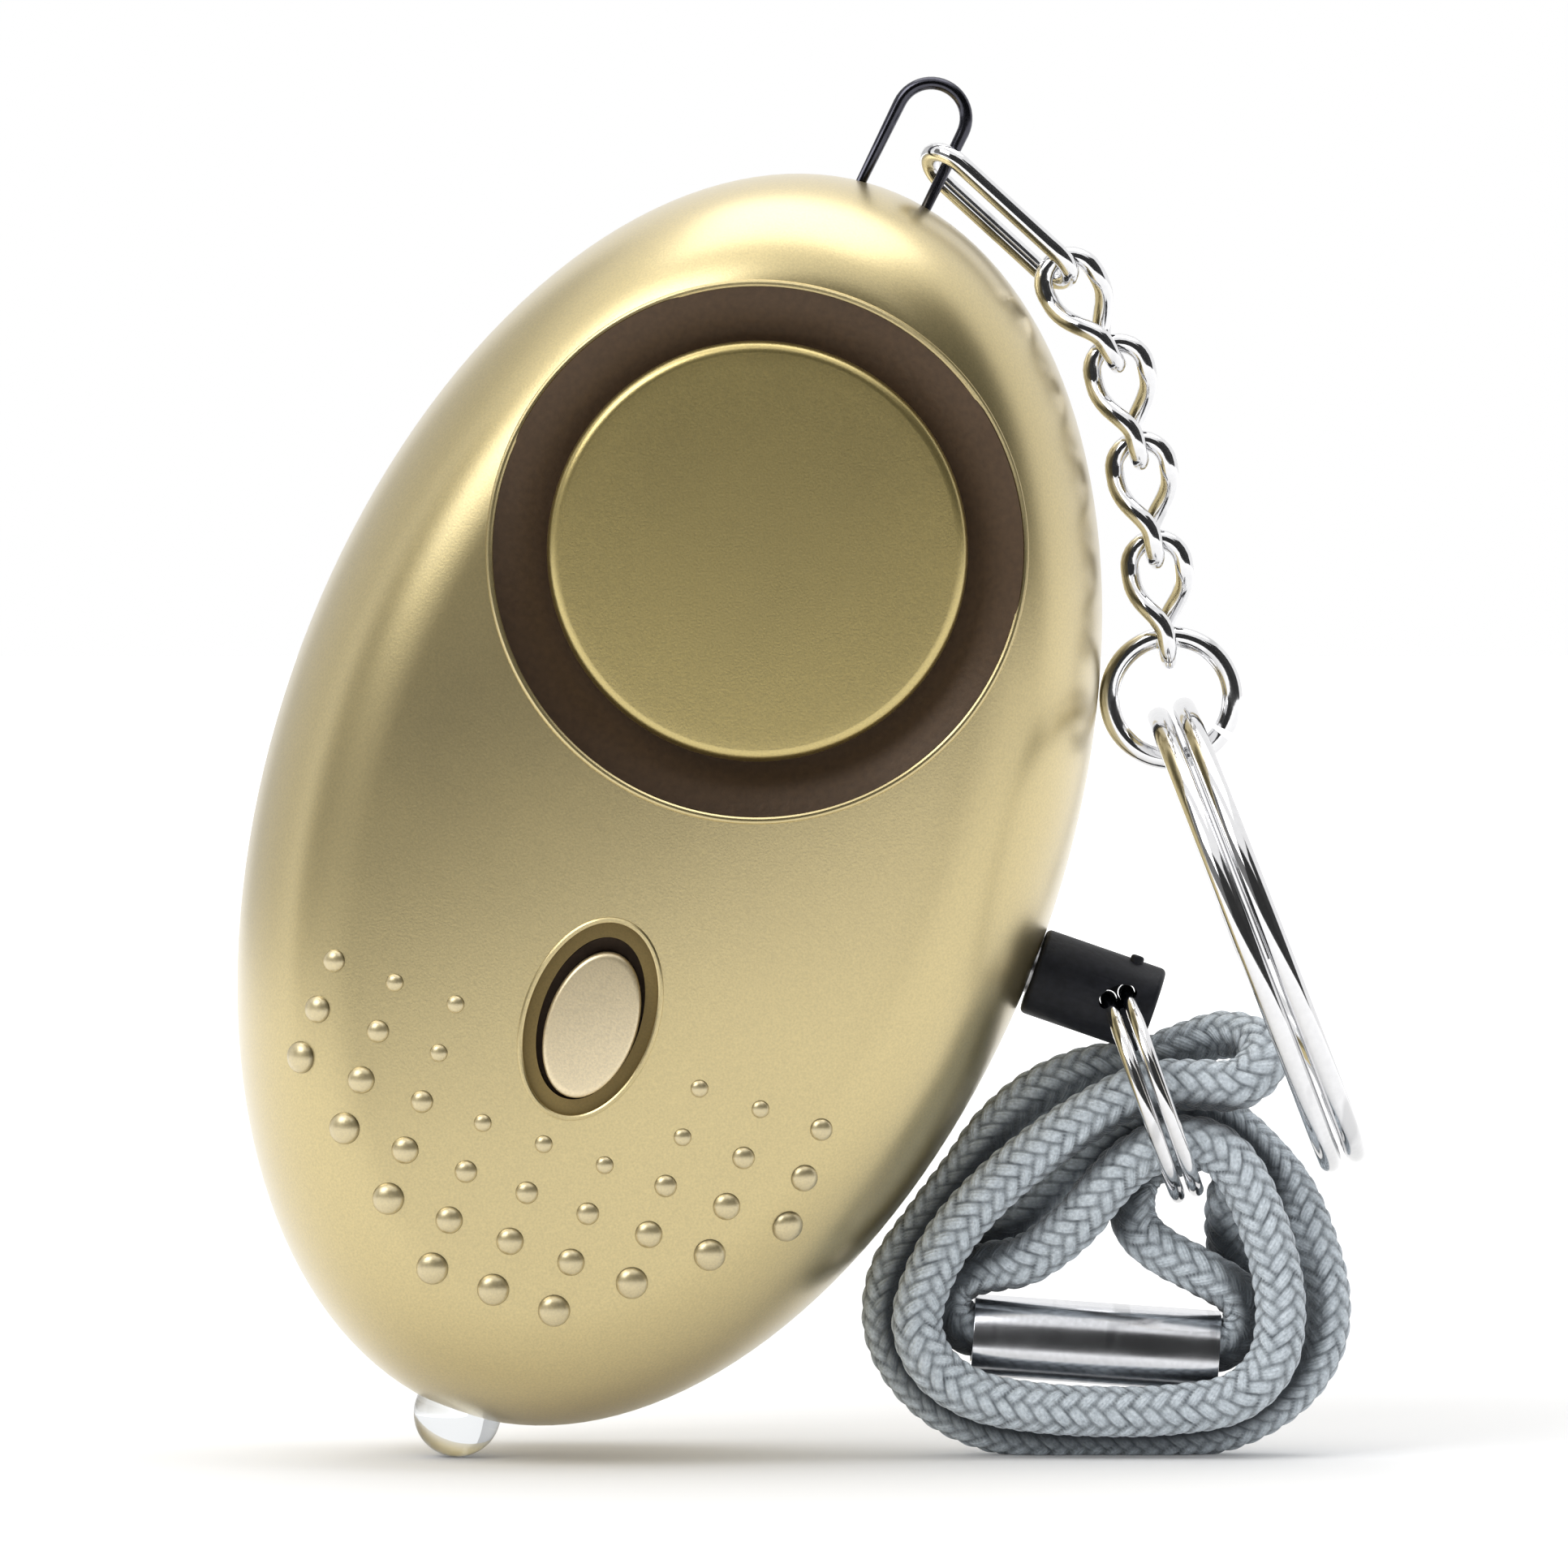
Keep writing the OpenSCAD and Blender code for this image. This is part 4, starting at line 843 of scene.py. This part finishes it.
def make_lip(name, middle, half_w, half_l, thick):
    """A thin rounded edge round an opening, which follows the crown of the front."""
    points = []
    for i in range(AROUND):
        a = 2 * math.pi * i / AROUND
        v, u = middle[0] + half_w * math.cos(a), middle[1] + half_l * math.sin(a)
        points.append((v, u, front_depth(u, v) - LIP_SINK))
    lip = wire(name, points, thick, True, 3)
    settle(lip, FACING, "gold_paint", "alarm_body")


def make_lips():
    make_lip("opening_lip", (0, SOUNDER_U), OPENING_R, OPENING_R, OPENING_LIP)
    make_lip("button_lip", (WELL_V, -WELL_U), SUNK_W / 2, SUNK_L / 2, BUTTON_LIP)


def make_rear_shell():
    shell = stacked("rear_cover", eased_foot(rear_levels(0)))
    shell.data.materials.append(FINISHES["gold_paint"])
    cut(shell, stacked("hollow_tool", with_sunk_foot(rear_levels(WALL))))
    for side in (-1, 1):
        for radius, start in ((SCREW_R, SCREW_END), (SCREW_HEAD_R, REAR_D - SCREW_HEAD_DEPTH)):
            tool = rod("screw_tool", radius, start, REAR_D + CUT_OVER, 48)
            cut(shell, moved(tool, Matrix.Translation((side * SCREW_V, SCREW_U, 0))))
    for tool in shell_holes(BACKING):
        cut(shell, tool)
    settle(shell, BACKING, None, "alarm_body", ("rear_shell",), 30)


def bead_places():
    """Places and radii of the grip beads, which grow towards the sides and the lower tip."""
    places = []
    for row in range(BEAD_ROWS):
        reach = BEAD_REACH if row < SIDE_ROWS else BEAD_ROWS - row
        for column in range(-reach, reach + 1):
            aside = abs(column)
            if row < SIDE_ROWS and aside < SIDE_FROM:
                continue
            growth = max(row - SIDE_ROWS, aside + row - SIDE_ROWS - 1, 0)
            v, u = BEAD_V + column * BEAD_STEP_V, BEAD_U - row * BEAD_STEP_U
            places.append((v, u, (BEAD_D + BEAD_GROWTH * growth) / 2))
    return places


def make_beads():
    """One grip bead, copied over the front."""
    profile = [(1.0, -0.3)] + arc((0, 0), 1.0, 0, 90, 7)
    bead = lathed("grip_bead", profile[:-1] + [(0.0, 1.0)], 24)
    # The foot mask paints shade on each bead towards where it meets the shell.
    foot = bead.data.attributes.new("foot", "FLOAT", "POINT")
    for corner, value in zip(bead.data.vertices, foot.data):
        value.value = min(1.0, max(0.0, 1 - corner.co.z / BEAD_SHADE_HEIGHT))
    beads = []
    for v, u, r in bead_places():
        spot = Matrix.Translation((v, u, front_depth(u, v)))
        turn = front_normal(u, v).to_track_quat("Z", "Y").to_matrix().to_4x4()
        size = Matrix.Diagonal((r, r, BEAD_RISE * r, 1))
        beads.append(moved(copied(bead), spot @ turn @ size))
    bpy.data.objects.remove(bead)
    settle(joined("grip_beads", beads), FACING, "gold_beads_painted_light_and_shade", "alarm_body")


# The sounder and the button
def make_sounder_cap(place):
    rim_r = CAP_R - CAP_RIM
    dome = (CAP_R * CAP_R + CAP_DOME * CAP_DOME) / (2 * CAP_DOME)
    top = [
        (r, CAP_FRONT + CAP_DOME - dome + math.sqrt(dome * dome - r * r))
        for r in (rim_r * (1 - i / CROWN_STEPS) for i in range(CROWN_STEPS + 1))
    ]
    edge = arc((rim_r, top[0][1] - CAP_RIM), CAP_RIM, 0, 84, 8)
    back = [(STEM_R, STEM_END), (STEM_R, CAP_BACK)]
    back += [(CAP_R - CAP_BEVEL, CAP_BACK), (CAP_R, CAP_BACK + CAP_BEVEL)]
    cap = lathed("sounder_disc", back + edge + top, 160)
    settle(cap, place, "gold_cap", "alarm_body", ("sounder_cap",), 40)


def make_sounder_recess(place):
    """The cup under the cap: a boss for its stem, a flat floor and a cone out to the opening."""
    boss_r, boss_front = STEM_R + STEM_GAP, 8.4
    outer, foot, step = OPENING_R - RECESS_GAP, 4.6, 5.4
    back = [(boss_r, boss_front), (boss_r, STEM_END), (10.6, STEM_END), (10.6, step), (11.6, step)]
    rim = [(11.6, foot), (outer, foot), (outer, 8.9)]
    cone = [(12.6, 8.66), (12.0, 8.4), (11.4, 8.15), (10.8, 7.96)]
    floor = [(r, RECESS_FLOOR) for r in (10.2, 9.0, 6.0, 4.0)]
    boss = [(4.0, boss_front), (boss_r, boss_front)]
    cup = lathed("sounder_recess", back + rim + cone + floor + boss, 160)
    settle(cup, place, "dark_recess", "alarm_body", ("resonator_cup",), 40)


def make_sounder():
    place = FACING @ Matrix.Translation((0, SOUNDER_U, 0))
    make_sounder_cap(place)
    make_sounder_recess(place)


def make_button():
    """A softly crowned oval with a flange that holds it behind the wall."""
    top = front_depth(BUTTON_U, 0) + BUTTON_PROUD
    edge = top - BUTTON_EDGE
    low = front_depth(BUTTON_U + BUTTON_L / 2 + FLANGE_REACH, 0) - WALL - FLANGE_GAP
    levels = [(FLANGE_SHARE, low - FLANGE_H), (FLANGE_SHARE, low), (1.0, low)]
    levels += [(1.0, edge - BUTTON_SIDE), (1.0, edge)]
    for i in range(1, 7):
        a = QUARTER * i / 6
        share = 1 - BUTTON_EDGE_SHARE * (1 - math.cos(a))
        levels.append((share, edge + BUTTON_EDGE_UP * math.sin(a)))
    levels += [(0.7, top - 0.06), (0.4, top - 0.02), (0.12, top)]
    button = stacked("torch_button", [(share, share, z) for share, z in levels], 96)
    spot = Matrix.Translation((BUTTON_V, -BUTTON_U, 0))
    moved(button, spot @ Matrix.Diagonal((BUTTON_W / 2, BUTTON_L / 2, 1, 1)))
    for colour in ("gold_button", "dark_recess"):
        button.data.materials.append(FINISHES[colour])
    for face in button.data.polygons:
        face.material_index = int(face.center.z < top - BUTTON_GOLD)
    settle(button, FACING, None, "light_button", ("light_button",), 40)


def make_lamp():
    shoulder, flange_r = LAMP_U + LAMP_IN, LAMP_R + LAMP_FLANGE
    profile = [(0.0, LAMP_U - LAMP_R)] + arc((0, LAMP_U), LAMP_R, -84, 0, 14)
    profile += [(LAMP_R, shoulder - LAMP_FLANGE_H), (flange_r, shoulder - LAMP_FLANGE_H)]
    profile += [(flange_r, shoulder), (0.0, shoulder)]
    lens = lathed("lamp_bulb", profile, 64)
    settle(lens, POSED, "clear_lens", "alarm_body", ("lamp_lens",), 40)
    bowl = [(0.0, 2.0), (0.35, 2.0), (0.75, 1.5), (0.85, 1.5), (0.85, 3.2)]
    post = [(0.3, 3.4), (0.3, 4.5), (0.0, 4.5)]
    cup = lathed("lamp_reflector", [(r, LAMP_U + rise) for r, rise in bowl + post], 32)
    settle(cup, POSED, "plain_steel", "alarm_body")


# The pull pin's plug
def make_plug():
    """A round plug with an oval eye on both sides, whose web has a hole for each wire."""
    inner = PLUG_R - PLUG_EDGE
    profile = [(0.0, PLUG_START)] + arc((inner, PLUG_START + PLUG_EDGE), PLUG_EDGE, -90, 0, 5)
    profile += arc((inner, PLUG_END - PLUG_EDGE), PLUG_EDGE, 0, 90, 5) + [(0.0, PLUG_END)]
    plug = lathed("plug_body", profile, 96)
    cut(plug, rod("pin_tool", PIN_R + HOLE_GAP, PLUG_START - CUT_OVER, PLUG_START + PIN_IN, 48))
    eye = ACROSS.inverted() @ hanging(EYE, STRAP_RING_ANGLE) @ Matrix.Translation((0, 0, EYE_RISE))
    lying = Matrix.Rotation(QUARTER, 4, "X")
    for near, far in ((-2 * PLUG_R, -EYE_WEB), (EYE_WEB, 2 * PLUG_R)):
        mouth = rod("eye_tool", 1, near, far, 48)
        cut(plug, moved(mouth, eye @ Matrix.Diagonal((EYE_HALF_W, 1, EYE_HALF_H, 1)) @ lying))
    rounded(plug, 0.1)
    for side in (-1, 1):
        shift = side * (STRAP_RING_WIRE + COIL_GAP) / 2
        hole_r = STRAP_RING_WIRE / 2 + EYE_WIRE_GAP
        hole = rod("wire_tool", hole_r, -2 * EYE_WEB, 2 * EYE_WEB, 32)
        cut(plug, moved(hole, eye @ Matrix.Translation((shift, 0, 0)) @ lying))
    settle(plug, ACROSS, "black_plastic", "pull_plug", ("pull_plug",), 45)


def make_plug_nub():
    """A small round nub on the plug's upper side."""
    side = [(NUB_R, -NUB_ROOT)] + arc((NUB_R - NUB_EDGE, NUB_SIDE), NUB_EDGE, 0, 90, 3)
    nub = lathed("plug_nub", side + [(0.0, NUB_TOP)], 20)
    spot = Matrix.Translation((-PLUG_R, -NUB_ASIDE, PLUG_END - NUB_FROM_END))
    moved(nub, spot @ Matrix.Rotation(-QUARTER, 4, "Y"))
    settle(nub, ACROSS, "black_plastic", "pull_plug")


# Wires, links and rings
def hung(angle):
    """The direction in which something hangs that leans from upright."""
    a = math.radians(angle)
    return Vector((math.sin(a), 0, -math.cos(a)))


def hanging(pivot, angle):
    return Matrix.Translation(pivot) @ Matrix.Rotation(math.radians(-angle), 4, "Y")


def make_staple():
    half, foot = STAPLE_W / 2, STAPLE_W / 2 + STAPLE_FOOT
    bow = [
        (half * math.cos(a), 0, STAPLE_H + half * math.sin(a))
        for a in (math.pi * i / 24 for i in range(25))
    ]
    start = [(foot, 0, -STAPLE_ROOT), (half, 0, -STAPLE_ROOT)]
    end = [(-half, 0, -STAPLE_ROOT), (-foot, 0, -STAPLE_ROOT)]
    loop = wire("top_staple", start + bow + end, STAPLE_WIRE, False, 6)
    # The staple's near-black finish is a painted dark reflection on chrome.
    settle(loop, STAPLE, "dark_wire", "alarm_body", ("wire_loop",), 60)


def link_points(top, bottom, start, end):
    """Middle line of a link that hangs from a pivot and twists from its top to its bottom."""
    r, bend, leg = LINK_W / 2, 14, 12
    high, low = top - r, bottom + r
    turns = [math.pi * i / bend for i in range(bend)]
    flat = [(r * math.cos(a), high + r * math.sin(a)) for a in turns]
    flat += [(-r, high + (low - high) * i / leg) for i in range(leg)]
    flat += [(-r * math.cos(a), low - r * math.sin(a)) for a in turns]
    flat += [(r, low + (high - low) * i / leg) for i in range(leg)]
    points = []
    for x, z in flat:
        a = math.radians(start + (end - start) * ease((high - z) / (high - low)))
        points.append((x * math.cos(a), x * math.sin(a), z))
    return points


def make_chain():
    top = (STAPLE_WIRE + LINK_WIRE) / 2 + WIRE_GAP
    path = link_points(top, -CONNECTOR_PITCH, CONNECTOR_ROLL, CONNECTOR_ROLL)
    connector = wire("long_link", path, LINK_WIRE, True, 6)
    place = hanging(HINGES["connector_swing"], CONNECTOR_ANGLE)
    settle(connector, place, "bright_chrome", "chain_connector", ("chain_connector",), 80)
    path = link_points(LINK_WIRE + WIRE_GAP, -LINK_PITCH, 0, 90)
    first = wire("curb_link", path, LINK_WIRE, True, 6)
    for i, angle in enumerate(LINK_ANGLES, 1):
        link = copied(first)
        link.name = f"curb_link_{i}"
        node = f"chain_link_{i}"
        place = hanging(HINGES[f"link_{i}_swing"], angle)
        settle(link, place, "bright_chrome", node, (node,), 80)
    bpy.data.objects.remove(first)


def make_jump_ring():
    turns = [math.radians(JUMP_FROM + JUMP_TURN * i / 72) for i in range(73)]
    r = JUMP_MEAN / 2
    ring = wire(
        "small_ring", [(r * math.cos(a), 0, r * math.sin(a)) for a in turns], JUMP_WIRE, False, 7
    )
    place = Matrix.Translation(HINGES["key_ring_swing"] - KEY_SEAT * hung(JUMP_ANGLE))
    settle(ring, place, "bright_chrome", "jump_ring", ("jump_ring",), 60)


def split_ring(name, mean, thick):
    """A wire wound almost twice round, with a step aside in between."""
    r, pitch = mean / 2, thick + COIL_GAP
    points = []
    for i in range(round((COIL_TO - COIL_FROM) / COIL_STEP) + 1):
        a = COIL_FROM + i * COIL_STEP
        aside = pitch * (ease((a - JOG_FROM) / JOG_ANGLE) - 0.5)
        turn = math.radians(a + COIL_TURN)
        points.append((aside, r * math.sin(turn), r * math.cos(turn)))
    return wire(name, points, thick, False, 6)


def make_split_rings():
    ring = split_ring("key_split_ring", KEY_MEAN, KEY_WIRE)
    middle = HINGES["key_ring_swing"] + KEY_MEAN / 2 * hung(KEY_ANGLE)
    settle(ring, hanging(middle, KEY_ANGLE), "bright_chrome", "key_ring", ("key_ring",), 60)
    ring = split_ring("strap_split_ring", STRAP_RING_MEAN, STRAP_RING_WIRE)
    middle = EYE + (STRAP_RING_MEAN / 2 - EYE_RISE) * hung(STRAP_RING_ANGLE)
    place = hanging(middle, STRAP_RING_ANGLE)
    return settle(ring, place, "bright_chrome", "strap", ("strap_ring",), 60)


# The strap
def ferrule_roll():
    """Section of the ferrule, drop and depth: a roll with a low front round two strands."""
    roll = []
    for i in range(ROLL_STEPS + 1):
        a = math.radians(ROLL_FROM + ROLL_TURN * i / ROLL_STEPS)
        r = FERRULE_R - ROLL_INSET - LAP_DEPTH * ease((i - LAP_FROM) / LAP_STEPS)
        down, out = math.cos(a), math.sin(a)
        nose = FERRULE_NOSE if out < 0 else 0
        drop = nose + (r - math.copysign(nose, down)) * down + FERRULE_SAG * max(0, down)
        roll.append((drop, r * out + math.copysign(STRAND_STEP / 2, out)))
    return roll


def make_ferrule():
    """A sheet rolled flat round two strands."""
    roll = [(drop, depth, -FERRULE_L / 2) for drop, depth in ferrule_roll()]
    sheet = drawn("rolled_ferrule", roll)
    bpy.ops.mesh.extrude_region_move(TRANSFORM_OT_translate={"value": (0, 0, FERRULE_L)})
    leave()
    way = sheet.modifiers.new("sheet", "SOLIDIFY")
    way.thickness = SHEET
    way.offset = 0
    take(sheet)
    bpy.ops.object.modifier_apply(modifier="sheet")
    close_up(sheet)
    rounded(sheet, 0.04)
    tilt = Matrix.Rotation(QUARTER + math.radians(FERRULE_TILT), 4, "Y")
    place = Matrix.Translation(FERRULE_MIDDLE) @ tilt
    return settle(
        sheet, place, "brushed_steel", "strap", ("strap_ferrule",), 35
    )


def strap_line():
    """A smooth line through the strap's route at even distances, and those distances."""
    route = np.array(STRAP_ROUTE)
    line = []
    for i in range(len(route) - 1):
        a, b = route[max(i - 1, 0)], route[i]
        c, d = route[i + 1], route[min(i + 2, len(route) - 1)]
        for s in np.arange(ROUTE_STEPS) / ROUTE_STEPS:
            line.append(
                0.5 * (2 * b + (c - a) * s + (2 * a - 5 * b + 4 * c - d) * s**2
                       + (3 * b - a - 3 * c + d) * s**3)
            )
    line.append(route[-1])
    line = np.array(line)
    run = np.concatenate([[0], np.cumsum(np.linalg.norm(np.diff(line, axis=0), axis=1))])
    even = np.linspace(0, run[-1], CORD_RINGS)
    return np.stack([np.interp(even, run, line[:, k]) for k in range(3)], axis=1), even


def plaits(along, turn):
    """Height of the plaits, over two and under two, from 0 to 1, and the place across each."""
    a = YARNS * turn + along / PLAIT_PITCH
    b = YARNS * turn - along / PLAIT_PITCH
    i, j = np.floor(a), np.floor(b)
    fa, fb = a - i, b - j
    order = np.mod(i + j, 4)
    over = order < 2
    across = np.where(over, fa, fb)
    run = np.where(over, (order + fb) / 2, (order - 2 + fa) / 2)
    bow = 1 - (2 * across - 1) ** 2
    lift = 1 - PLAIT_DIP * (2 * run - 1) ** 2
    return np.sqrt(np.clip(bow, 0, 1)) * lift, across


def cord_sides(line):
    """Two directions square to the line at each of its points, carried along without a twist."""
    tangent = np.gradient(line, axis=0)
    tangent /= np.linalg.norm(tangent, axis=1)[:, None]
    side = np.zeros_like(line)
    carried = np.array([0.0, 1.0, 0.0])
    for i in range(len(line)):
        carried = carried - carried.dot(tangent[i]) * tangent[i]
        carried /= np.linalg.norm(carried)
        side[i] = carried
    return side, np.cross(tangent, side)


def strand_shade_amount(skin, out, line, along):
    """How close each place on the strap lies to another strand, from 0 in the open to 1: the mask
    for painted shade between strands.
    """
    feel, own_length, open_from, ramp, thinned = 0.9, 5, 2.95, 1.15, 5
    probe = skin + feel * out
    others, run = line[::thinned], along[::thinned]
    near = np.empty(skin.shape[:2])
    for i, place in enumerate(along):
        strands = others[np.abs(run - place) > own_length]
        apart = np.linalg.norm(probe[i][:, None, :] - strands[None, :, :], axis=2)
        near[i] = apart.min(axis=1)
    return np.clip((open_from - near) / ramp, 0, 1)


def tube_faces(rings, sides):
    """Faces of a closed tube whose corners run ring after ring."""
    faces = []
    for a in range(0, (rings - 1) * sides, sides):
        b = a + sides
        faces += [(a + k, a + (k + 1) % sides, b + (k + 1) % sides, b + k) for k in range(sides)]
    faces.append(tuple(range(sides - 1, -1, -1)))
    faces.append(tuple((rings - 1) * sides + k for k in range(sides)))
    return faces


def make_strap(fittings):
    """A braided tube along the route, whose skin carries the braid's values and the masks of its
    painted shade.
    """
    line, along = strap_line()
    side, other = cord_sides(line)
    turn = np.arange(CORD_SIDES) / CORD_SIDES
    height, across = plaits(along[:, None], turn[None, :])
    radius = CORD_R + PLAIT_RISE * height
    wide = np.cos(2 * np.pi * turn)[None, :, None] * CORD_FLAT
    tall = np.sin(2 * np.pi * turn)[None, :, None]
    out = wide * side[:, None, :] + tall * other[:, None, :]
    skin = line[:, None, :] + radius[:, :, None] * out
    skin[:, :, 2] = np.maximum(skin[:, :, 2], CORD_LOWEST)
    mesh = bpy.data.meshes.new("braided_strap")
    mesh.from_pydata(skin.reshape(-1, 3).tolist(), [], tube_faces(CORD_RINGS, CORD_SIDES))
    # The plait and strand masks paint shade between the plaits and between the strands.
    carried = {
        "plait": np.clip(PALE_GAIN * height - PALE_START, 0, 1),
        "thread": across,
        "painted_strand_shade": strand_shade_amount(skin, out, line, along),
    }
    for label, values in carried.items():
        mesh.attributes.new(label, "FLOAT", "POINT").data.foreach_set("value", values.reshape(-1))
    strap = bpy.data.objects.new("braided_strap", mesh)
    bpy.context.scene.collection.objects.link(strap)
    edit(strap)
    bpy.ops.mesh.normals_make_consistent(inside=False)
    leave()
    settle(strap, WHOLE, "grey_braid", "strap", ("wrist_strap",), 60)


# The pieces that keep their solid shape
KEPT = {
    "piezo_plate": "spring_brass", "piezo_ceramic": "ceramic", "piezo_leads": "lead_insulation",
    "circuit_board": "board", "tact_switch": "black_plastic", "switch_plunger": "white_plastic",
    "siren_chip": "black_plastic", "drive_transistor": "black_plastic", "inductor_core": "ferrite",
    "inductor_winding": "copper_wire", "lamp_leads": "plain_steel", "button_cells": "plain_steel",
    "battery_tray": "black_plastic", "battery_spring": "plain_steel", "battery_plate": "plain_steel",
    "pin_socket": "black_plastic", "contact_leaves": "spring_brass", "case_screws": "plain_steel",
    "pull_pin": "plain_steel",
}


def paint_kept_nodes():
    for node, colour in KEPT.items():
        kept = frame["nodes"][node]
        kept.data.materials.clear()
        kept.data.materials.append(FINISHES[colour])


make_finishes()
set_studio()
make_strap([make_ferrule(), make_split_rings()])
make_front_shell()
make_lips()
make_rear_shell()
make_beads()
make_sounder()
make_button()
make_lamp()
make_plug()
make_plug_nub()
make_staple()
make_chain()
make_jump_ring()
paint_kept_nodes()
